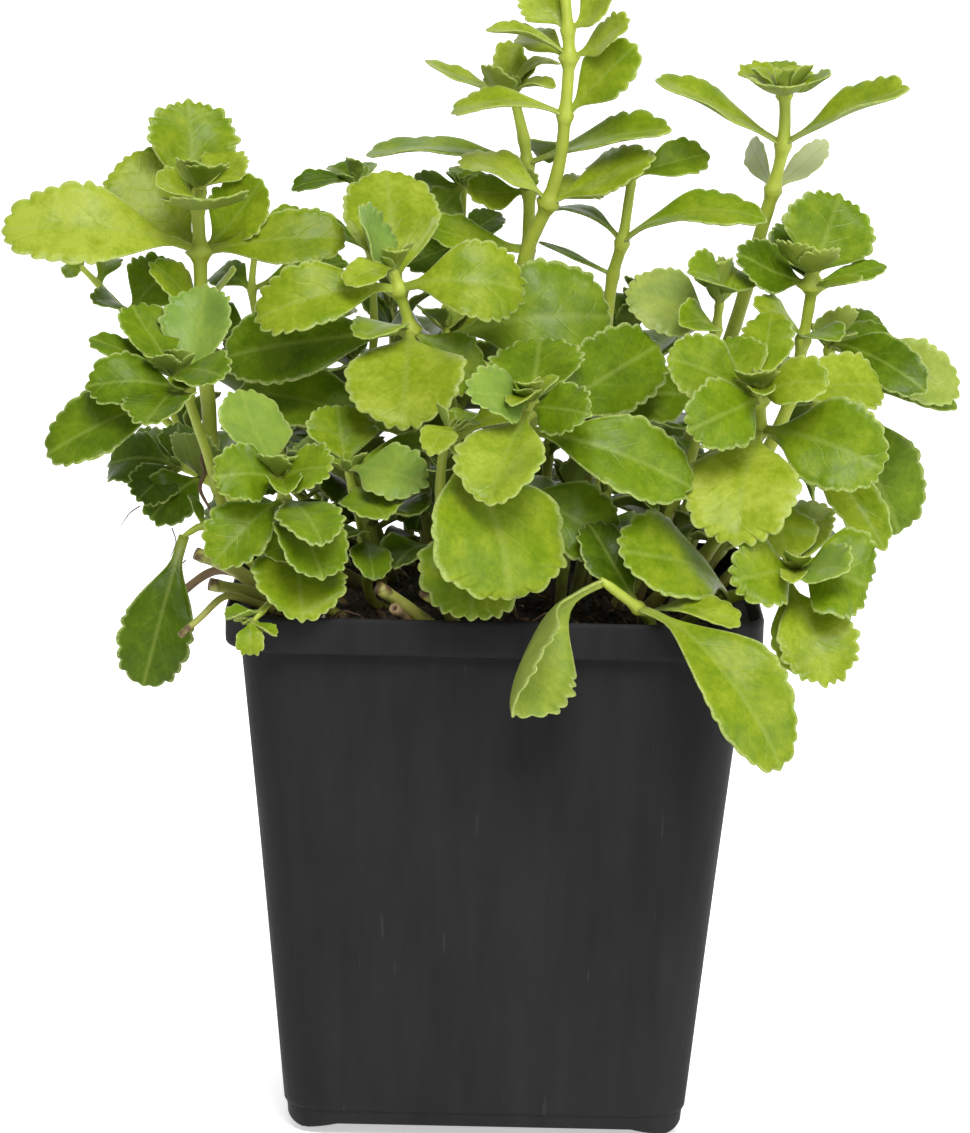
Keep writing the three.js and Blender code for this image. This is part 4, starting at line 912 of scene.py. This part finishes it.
def leaf_finish():
    """Waxy leaf: green from painted deep shade to a lit yellow-green by its tone, pale at its stalk,
    midrib and hairy margin, the margin partly a painted highlight, matt and paler below, some leaves with
    a blue bloom and some pale, partly with a painted sheen.
    """
    wax = Finish("stonecrop_leaf")
    on_leaf, mark = wax.marks("leaf"), wax.marks("mark")
    cloud = wax.noise(190, 4, 0.6)
    fleck = wax.noise(1100, 3, 0.7)
    tone = wax.calc("ADD", mark["X"], wax.span(cloud, 0.25, 0.75, -0.13, 0.13))
    tone = wax.calc("ADD", tone, wax.span(fleck, 0.25, 0.75, -0.07, 0.07))
    rib = wax.calc("ABSOLUTE", on_leaf["X"])
    slope = wax.calc("SUBTRACT", wax.calc("MULTIPLY", on_leaf["Y"], 6.5), wax.calc("MULTIPLY", rib, 2.2))
    beat = wax.calc("ABSOLUTE", wax.calc(
        "SINE", wax.calc("MULTIPLY", wax.calc("ADD", slope, cloud), math.pi),
    ))
    veins = wax.calc("MULTIPLY", wax.span(beat, 0.3, 0.0), wax.span(rib, 0.95, 0.1))
    hairs_and_glint = wax.span(wax.noise(2600, 1), 0.3, 0.6, 0.2, 0.7)
    # The tone runs from painted deep shade at 0 to a lit yellow-green at 1, so this colour holds painted
    # light and shade as well as the leaves' own greens.
    colour = wax.ramp(tone, [
        (0.0, (0.03, 0.058, 0.001)), (0.35, (0.075, 0.135, 0.002)), (0.6, (0.14, 0.225, 0.005)),
        (0.8, (0.23, 0.305, 0.012)), (1.0, (0.34, 0.41, 0.04)),
    ])
    for factor, tint in (
        (wax.span(mark["Z"], 0, 1, 0, 0.45), (0.24, 0.4, 0.12)),
        # Leaves marked -1 turn pale: partly paler wax, partly a painted sheen.
        (wax.span(mark["Z"], 0, -1, 0, 0.85), (0.46, 0.5, 0.3)),
        (wax.span(on_leaf["Y"], 0.34, 0.0, 0, 0.75), (0.32, 0.38, 0.06)),
        (wax.span(rib, 0.1, 0.0, 0, 0.35), (0.3, 0.38, 0.07)),
        (wax.calc("MULTIPLY", veins, 0.1), (0.3, 0.38, 0.08)),
        (wax.calc("MULTIPLY", mark["Y"], 0.6), (0.2, 0.26, 0.05)),
        # The pale hairy margin is partly the hairs' own colour and partly a painted highlight, the light
        # that the fine hairs catch.
        (wax.calc("MULTIPLY", wax.span(on_leaf["Z"], 0.9, 0.985), hairs_and_glint), (0.42, 0.48, 0.17)),
    ):
        colour = wax.blend(factor, colour, tint)
    dull = wax.calc("ADD", wax.span(cloud, 0.3, 0.7, 0.3, 0.42), wax.calc("MULTIPLY", mark["Y"], 0.2))
    soft = wax.calc("MULTIPLY", wax.noise(170, 1), 1.5)
    low = wax.bump(wax.calc("SUBTRACT", soft, wax.calc("MULTIPLY", veins, 0.1)), 0.5, 0.0007)
    return wax.shaded({
        "Base Color": colour, "Roughness": dull, "Specular IOR Level": 0.17,
        "Subsurface Weight": 0.25, "Subsurface Radius": (0.7, 1.0, 0.15), "Subsurface Scale": 0.0012,
        "Normal": wax.bump(fleck, 0.25, 0.0002, Normal=low),
    })


def stem_finish(name, stops):
    """Fleshy stem coloured from its root to its tip, with brown flecks and a faint grain."""
    flesh = Finish(name)
    shift = flesh.span(flesh.noise(420, 5), 0.3, 0.7, -0.12, 0.12, "LINEAR")
    along = flesh.calc("ADD", flesh.marks("mark")["Z"], shift)
    return flesh.shaded({
        "Base Color": flesh.ramp(along, stops), "Roughness": 0.5, "Subsurface Weight": 0.2,
        "Subsurface Radius": (0.9, 1.0, 0.2), "Subsurface Scale": 0.001,
        "Normal": flesh.bump(flesh.noise(1500, 3), 0.4, 0.0003),
    })


def shoot_piece(name, stem, skins, materials):
    """One object of a stem and its leaves, with the marks that its materials read."""
    stem_points, stem_faces, stem_share = stem
    total = len(stem_points)
    points, faces, kinds = [stem_points], [*stem_faces], [1] * len(stem_faces)
    leaf_at = [np.zeros((total, 3))]
    marks = [np.column_stack([np.zeros((total, 2)), stem_share])]
    for (skin_points, skin_faces, places, under), tone, bloom_and_sheen in skins:
        faces += [[i + total for i in face] for face in skin_faces]
        kinds += [0] * len(skin_faces)
        points.append(skin_points)
        leaf_at.append(places)
        full = np.ones(len(places))
        marks.append(np.column_stack([full * tone, under, full * bloom_and_sheen]))
        total += len(skin_points)
    made = mesh_object(name, np.concatenate(points), faces, materials)
    made.data.polygons.foreach_set("material_index", kinds)
    for key, values in (("leaf", leaf_at), ("mark", marks)):
        attribute = made.data.attributes.new(key, "FLOAT_VECTOR", "POINT")
        attribute.data.foreach_set("vector", np.concatenate(values).ravel())
    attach(made, "root")
    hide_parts(name)
    return made


def bud(stem_end, ahead, chance, size):
    """Small young leaves that stand around a shoot's end, as leaf values."""
    across = np.cross(ahead, (0.3, 1, 0.1))
    across /= np.linalg.norm(across)
    second = np.cross(ahead, across)
    leaves = []
    for ring, (lift, reach) in enumerate(BUD_RINGS):
        start = chance.uniform(0, 1.5)
        for half in (0, 1):
            turn = start + math.pi * half + ring * QUARTER_TURN
            out = across * math.cos(turn) + second * math.sin(turn)
            way = out * math.cos(lift) + ahead * math.sin(lift)
            length = size * reach
            base = stem_end + out * 0.25 * reach - ahead * 0.5
            width = length * BUD_LEAF_WIDTH
            leaves.append((base, base + way * length, width, -0.04 * length, 0, 0.4))
    return leaves


leaf_green = leaf_finish()
green_stem = stem_finish("green_stem", [
    (0.0, (0.12, 0.08, 0.02)), (0.25, (0.2, 0.2, 0.025)), (0.5, (0.31, 0.37, 0.03)),
    (1.0, (0.4, 0.48, 0.05)),
])
for name, (foot, thick, tone_with_painted_light, stem_places, leaf_rows) in SHOOTS.items():
    chance = np.random.default_rng(zlib.crc32(name.encode()))
    places = [seen(place) for place in stem_places]
    stem = grow_stem([*rooted(foot), *places], thick, [places[row[0]] for row in leaf_rows])
    skins = []
    for place, u, v, back, width, arch, roll, cup, *shorter in leaf_rows:
        kept = shorter[0] if shorter else 1
        base = places[place]
        tip = base + (seen((u, v, back)) - base) * kept
        leaf = (base, tip, width * kept ** 0.5, arch, roll, FOLDED_LEAVES.get((u, v), cup))
        young = YOUNG_TONE if math.dist(base, tip) < YOUNG_LENGTH else 0
        tone = tone_with_painted_light + young + chance.uniform(-0.15, 0.13)
        skins.append((leaf_skin(leaf, chance, *GROWN_MESH), *MARKED_LEAVES.get((u, v), (tone, 0))))
    ahead = places[-1] - places[-2]
    ahead /= np.linalg.norm(ahead)
    if name not in ("shoot_over_front_rim", "shoot_hanging_left"):
        for leaf in bud(places[-1], ahead, chance, thick * BUD_PER_THICKNESS):
            skins.append((leaf_skin(leaf, chance, *BUD_MESH), tone_with_painted_light + 0.15, 0.2))
    shoot_piece(name, stem, skins, [leaf_green, green_stem])

# Shoots at the back, the sides and low inside, which the front hides or nearly hides. Each is one
# living piece like the others, and grows by the rule of the species: five crossed pairs of leaves.
REGULAR_THICKNESS = 2.2
REGULAR_BUD = 4.5
# Painted shade: the inner and low shoots get the darkest leaf tone, and those at the back and sides a
# darker one than the front, for the shade they stand in.
INNER_PAINTED_SHADE_TONE = 0.2
OUTER_PAINTED_SHADE_TONE = 0.36
PAIR_STEP = 0.17
FIRST_PAIR_SIZE = 0.26
PAIR_GROWTH = 0.3
FIRST_LIFT, LIFT_STEP, LEAST_LIFT = 75, 20, 5
# A regular shoot is its foot, its head in mm, its first pair's turn, the length of a grown leaf, and
# the share that each leaf keeps, from the head down.
REGULAR_SHOOTS = {
    "shoot_back_left": ((-29, 24), (-48, 38, 124), 20, 24, (1, 1, 1, 1, 1, 0, 0.9, 1, 0.5, 0.4)),
    "shoot_back_left_inner": ((-15, 33), (-20, 50, 132), 60, 24, (1, 1, 1, 1, 0.7, 1, 1, 1, 1, 0.5)),
    "shoot_back_centre": ((2, 35), (4, 62, 120), 10, 24, (1, 1, 1, 1, 1, 1, 1, 1, 1, 0.7)),
    "shoot_back_rim_centre": ((-9, 36), (-9, 62, 104), 50, 25, (1, 1, 0.4, 0, 0.4, 0.4, 0, 1, 1, 0)),
    "shoot_back_right_inner": ((16, 30), (24, 48, 133), 35, 23, (1, 1, 1, 1, 1, 1, 1, 0.7, 1, 0.9)),
    "shoot_back_right": ((31, 24), (48, 42, 122), 70, 23, (1, 1, 1, 1, 1, 1, 0.6, 0.6, 1, 0.7)),
    "shoot_inner_back": ((8, 18), (10, 22, 130), 50, 22, (1, 1, 1, 1, 0.5, 0.8, 0.4, 0.9, 0, 0)),
    "shoot_inner_back_left": ((-22, 26), (-26, 26, 126), 75, 25, (1, 1, 0.5, 0, 1, 0.7, 0, 0.6, 0, 0.6)),
    "shoot_inner_left": ((-17, 10), (-32, 8, 118), 30, 22, (1, 1, 1, 0.7, 1, 0.8, 0.5, 0.8, 1, 0.9)),
    "shoot_inner_right": ((13, -8), (22, -4, 116), 75, 22, (1, 1, 1, 1, 1, 1, 0.5, 1, 0.6, 0)),
    "shoot_low_inner_left": ((-19, -4), (-25, 0, 111), 20, 20, (1, 1, 1, 1, 1, 0, 1, 0.4, 0.4, 0.9)),
    "shoot_low_inner_centre": ((-8, -13), (-9, -11, 112), 65, 20, (1, 1, 0.7, 1, 1, 0.4, 1, 0.4, 0, 1)),
    "shoot_low_inner_right": (
        (11, -15), (13, -13, 111), 30, 20, (0.7, 0.9, 0.6, 0.8, 0, 0.4, 1, 0.6, 0.4, 0.7),
    ),
    "shoot_low_inner_back": ((-12, 6), (-13, 13, 120), 80, 22, (1, 1, 0, 1, 1, 0.5, 0.5, 0, 0, 0.4)),
    "shoot_low_right": ((22, 3), (38, 4, 110), 40, 20, (1, 1, 1, 1, 0.8, 0.8, 1, 0.9, 0.4, 0.6)),
    "shoot_side_left": ((-33, 18), (-60, 30, 114), 45, 21, (1, 1, 1, 1, 0.6, 0.6, 0.4, 1, 0, 0)),
    "shoot_side_right": ((32, 14), (60, 26, 116), 0, 21, (1, 1, 1, 1, 0.9, 1, 0.7, 0.5, 1, 0.4)),
    "shoot_back_rim_left": ((-26, 31), (-38, 62, 105), 22, 24, (1, 1, 1, 1, 1, 1, 0.5, 0.8, 0.8, 1)),
    "shoot_back_rim_right": ((24, 31), (34, 63, 105), 22, 24, (1, 1, 1, 1, 0.6, 0.4, 0.5, 1, 1, 0.4)),
}


def regular_shoot(foot, head, turn, length, kept):
    """The stem path, its knots and the leaves of a shoot that grows by rule."""
    root = rooted(foot)
    start, end = root[1], np.array(head, float)

    def along(share):
        point = start + (end - start) * share ** 1.15
        point[2] = start[2] + (end[2] - start[2]) * share ** 0.85
        return point

    leaves = []
    bases = [along(1 - PAIR_STEP * pair) for pair in range(len(kept) // 2)]
    for i, share in enumerate(kept):
        pair, half = divmod(i, 2)
        if not share:
            continue
        lift = math.radians(max(LEAST_LIFT, FIRST_LIFT - LIFT_STEP * pair))
        around = math.radians(turn + 90 * pair + 180 * half)
        flat = math.cos(lift)
        way = np.array((math.cos(around) * flat, math.sin(around) * flat, math.sin(lift)))
        full = length * min(1, FIRST_PAIR_SIZE + PAIR_GROWTH * pair)
        width = 0.6 * full * share ** 0.5
        leaves.append((bases[pair], bases[pair] + way * full * share, width, 0.1 * full, 0, 0.25))
    return [*root, along(0.25), *bases[::-1]], bases, leaves


for name, row in REGULAR_SHOOTS.items():
    chance = np.random.default_rng(zlib.crc32(name.encode()))
    path, knots, leaves = regular_shoot(*row)
    stem = grow_stem(path, REGULAR_THICKNESS, knots)
    shade = INNER_PAINTED_SHADE_TONE if "inner" in name or "low" in name else OUTER_PAINTED_SHADE_TONE
    skins = [
        (leaf_skin(leaf, chance, *REGULAR_MESH), shade + chance.uniform(-0.1, 0.12), 0)
        for leaf in leaves
    ]
    ahead = path[-1] - path[-2]
    for leaf in bud(path[-1], ahead / np.linalg.norm(ahead), chance, REGULAR_BUD):
        skins.append((leaf_skin(leaf, chance, *BUD_MESH), shade + 0.2, 0))
    shoot_piece(name, stem, skins, [leaf_green, green_stem])

# Old and cut stems. Short woody or fleshy ends of earlier shoots, rooted in the potting mix, that
# lean out over the rim at the left and the front; one is dried out and hollow.
STUBS = {
    "cut_stem_left": ((-33, -20), 3, [(240, 573, -22), (200, 555, -24)]),
    "cut_stem_left_low": ((-30, -26), 3, [(258, 595, -29), (214, 585, -31)]),
    "old_stem_left": ((-34, -13), 2.1, [(222, 570, -13), (168, 603, -11)]),
    "thin_stem_over_left_rim": (
        (-29, -32), 1.6, [(252, 602, -34), (226, 596, -35), (200, 618, -37), (183, 633, -38)],
    ),
    "cut_stem_front": ((-8, -36), 3, [(402, 604, -38), (382, 590, -40)]),
    "hollow_old_stub": ((-13, -38), 2.4, [(404, 618, -40), (396, 610, -42)]),
    "twig_front": ((-5, -38), 2.6, [(446, 609, -39), (426, 594, -41)]),
}
old_stem = stem_finish("old_stem", [
    (0.0, (0.09, 0.05, 0.02)), (0.3, (0.2, 0.14, 0.05)), (0.5, (0.34, 0.34, 0.06)),
    (0.9, (0.38, 0.4, 0.08)), (0.99, (0.12, 0.065, 0.025)),
])
dry_stem = stem_finish("dry_stem", [
    (0.0, (0.07, 0.04, 0.02)), (0.6, (0.17, 0.1, 0.05)), (1.0, (0.3, 0.2, 0.1)),
])


def hollowed(points, faces, share):
    """A stem whose cut end is a ring around a hole, with the hole's floor sunk into the stem."""
    cap = max((face for face in faces if len(face) > 4), key=lambda face: share[list(face)].mean())
    rim = points[list(cap)]
    middle = rim.mean(axis=0)
    into = points[share < share[cap[0]] - 1e-6][-12:].mean(axis=0)
    into = (into - middle) / np.linalg.norm(into - middle)
    lip = middle + (rim - middle) * 0.62
    floor_ring = middle + (rim - middle) * 0.5 + into * 1.6
    count = len(cap)
    first = len(points)
    faces = [face for face in faces if face != cap]
    for i in range(count):
        after = (i + 1) % count
        faces.append((cap[i], cap[after], first + after, first + i))
        faces.append((first + i, first + after, first + count + after, first + count + i))
    faces.append(tuple(range(first + count, first + 2 * count)))
    return (
        np.concatenate([points, lip, floor_ring]), faces,
        np.concatenate([share, np.full(count, 1.0), np.full(count, 0.0)]),
    )


for name, (foot, thick, stem_places) in STUBS.items():
    path = [*rooted(foot), *[seen(place) for place in stem_places]]
    stem = grow_stem(path, thick, path[-1:], 0.8, 12, (1.02, 1.0))
    if name == "hollow_old_stub":
        stem = hollowed(*stem)
    finish = dry_stem if name in ("hollow_old_stub", "old_stem_left") else old_stem
    shoot_piece(name, stem, [], [finish, finish])

# Rootlets and hairs. Fine brown air roots that hang from the old stems, and loose fibres of peat.
# They are as thin as thread, and stick out at the left and above the potting mix.
# Each is its thickness and its places.
ROOTLETS = [
    (0.8, [(203, 450, -16), (202, 462, -17), (212, 480, -18)]),
    (0.8, [(206, 470, -18), (200, 488, -18), (208, 506, -19)]),
    (0.8, [(210, 455, -15), (217, 470, -16), (215, 492, -17)]),
    (0.25, [(246, 552, -27), (258, 536, -28), (272, 521, -30)]),
    (0.25, [(172, 528, -18), (176, 542, -18), (171, 556, -19)]),
    (0.25, [(140, 506, -10), (130, 513, -11), (122, 524, -12)]),
    (0.25, [(186, 560, -18), (176, 570, -18), (174, 584, -19)]),
    (0.5, [(270, 618, -40), (281, 606, -42), (290, 609, -43)]),
    (0.5, [(330, 620, -42), (342, 611, -43), (356, 614, -44)]),
    (0.5, [(470, 622, -42), (482, 612, -43), (497, 618, -44)]),
    (0.5, [(560, 624, -42), (549, 613, -43), (536, 619, -44)]),
]
root_points, root_faces = [], []
for thick, places in ROOTLETS:
    points, faces, share = grow_stem([seen(place) for place in places], thick, [], 0.6, 5)
    root_faces += [tuple(i + len(root_points) for i in face) for face in faces]
    root_points += points.tolist()
fibre = crumb_finish("root_fibre", [(0.35, (0.05, 0.025, 0.012)), (0.65, (0.16, 0.09, 0.04))])
rootlets = mesh_object("fine_rootlets", root_points, root_faces, [fibre])
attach(rootlets, "root")

# Ground, light and camera. A pale studio floor that sweeps up behind the plant, with a large soft
# light above the front and a weaker one at the right; none of it is part of the plant.
SWEEP_START = 1750
SWEEP_RADIUS = 1250
SWEEP_TOP = 4500
FLOOR_FRONT = -3750
FLOOR_HALF_WIDTH = 4500
SURROUNDING_LIGHT = 0.32
LIGHT_SIZE = 0.5
LIGHT_AIM = (0, 0, 0.12)
SENSOR_WIDTH = 36
sweep_line = [(FLOOR_FRONT, 0), (-750, 0), (SWEEP_START, 0)]
for angle in np.linspace(0.1, 1.57, 14):
    rise = SWEEP_RADIUS * (1 - math.cos(angle))
    sweep_line.append((SWEEP_START + SWEEP_RADIUS * math.sin(angle), rise))
sweep_line.append((SWEEP_START + SWEEP_RADIUS, SWEEP_TOP))
floor_points = [(x, y, z) for y, z in sweep_line for x in (-FLOOR_HALF_WIDTH, FLOOR_HALF_WIDTH)]
floor_faces = [(2 * i, 2 * i + 1, 2 * i + 3, 2 * i + 2) for i in range(len(sweep_line) - 1)]
pale = Finish("pale_floor")
pale_material = pale.shaded({
    "Base Color": pale.ramp(pale.noise(4, 2), [(0.3, (0.86, 0.86, 0.86)), (0.7, (0.9, 0.9, 0.9))]),
    "Roughness": 0.9, "Emission Color": (1, 1, 1, 1),
    "Emission Strength": pale.span(pale.split(pale.place)["Y"], -0.15, 0.05, 0, 0.85, "LINEAR"),
})
floor = mesh_object("pale_floor", floor_points, floor_faces, [pale_material])

scene = bpy.context.scene
scene.view_settings.view_transform = "Standard"
world = bpy.data.worlds.new("studio")
scene.world = world
world.use_nodes = True
surroundings = {"Color": (1, 1, 1, 1), "Strength": SURROUNDING_LIGHT}
fill(world.node_tree, world.node_tree.nodes["Background"].inputs, surroundings)


def area_light(name, place, power):
    """A square softbox at a place in metres, of a power in watts, that faces the plant."""
    light = bpy.data.lights.new(name, "AREA")
    light.size = LIGHT_SIZE
    light.energy = power
    made = bpy.data.objects.new(name, light)
    scene.collection.objects.link(made)
    way = Vector(place) - Vector(LIGHT_AIM)
    made.matrix_world = Matrix.Translation(place) @ way.to_track_quat("Z", "Y").to_matrix().to_4x4()


area_light("key_light", (0.12, -0.72, 0.86), 10.4)
area_light("fill_light", (0.7, -0.6, 0.4), 2.5)

camera_data = bpy.data.cameras.new("camera")
camera_data.sensor_width = SENSOR_WIDTH
camera_data.lens = FOCAL_POINTS * SENSOR_WIDTH / max(PICTURE)
camera_data.clip_end = 20
camera = bpy.data.objects.new("camera", camera_data)
scene.collection.objects.link(camera)
right = np.array((1, 0, 0))
upward = np.array((0, math.sin(PITCH), math.cos(PITCH)))
backward = -np.array((0, math.cos(PITCH), -math.sin(PITCH)))
turned_right = right * math.cos(TILT) + upward * math.sin(TILT)
turned_up = upward * math.cos(TILT) - right * math.sin(TILT)
pose = np.eye(4)
pose[:3, 0], pose[:3, 1], pose[:3, 2], pose[:3, 3] = turned_right, turned_up, backward, EYE * MM
camera.matrix_world = Matrix(pose.tolist())
scene.camera = camera
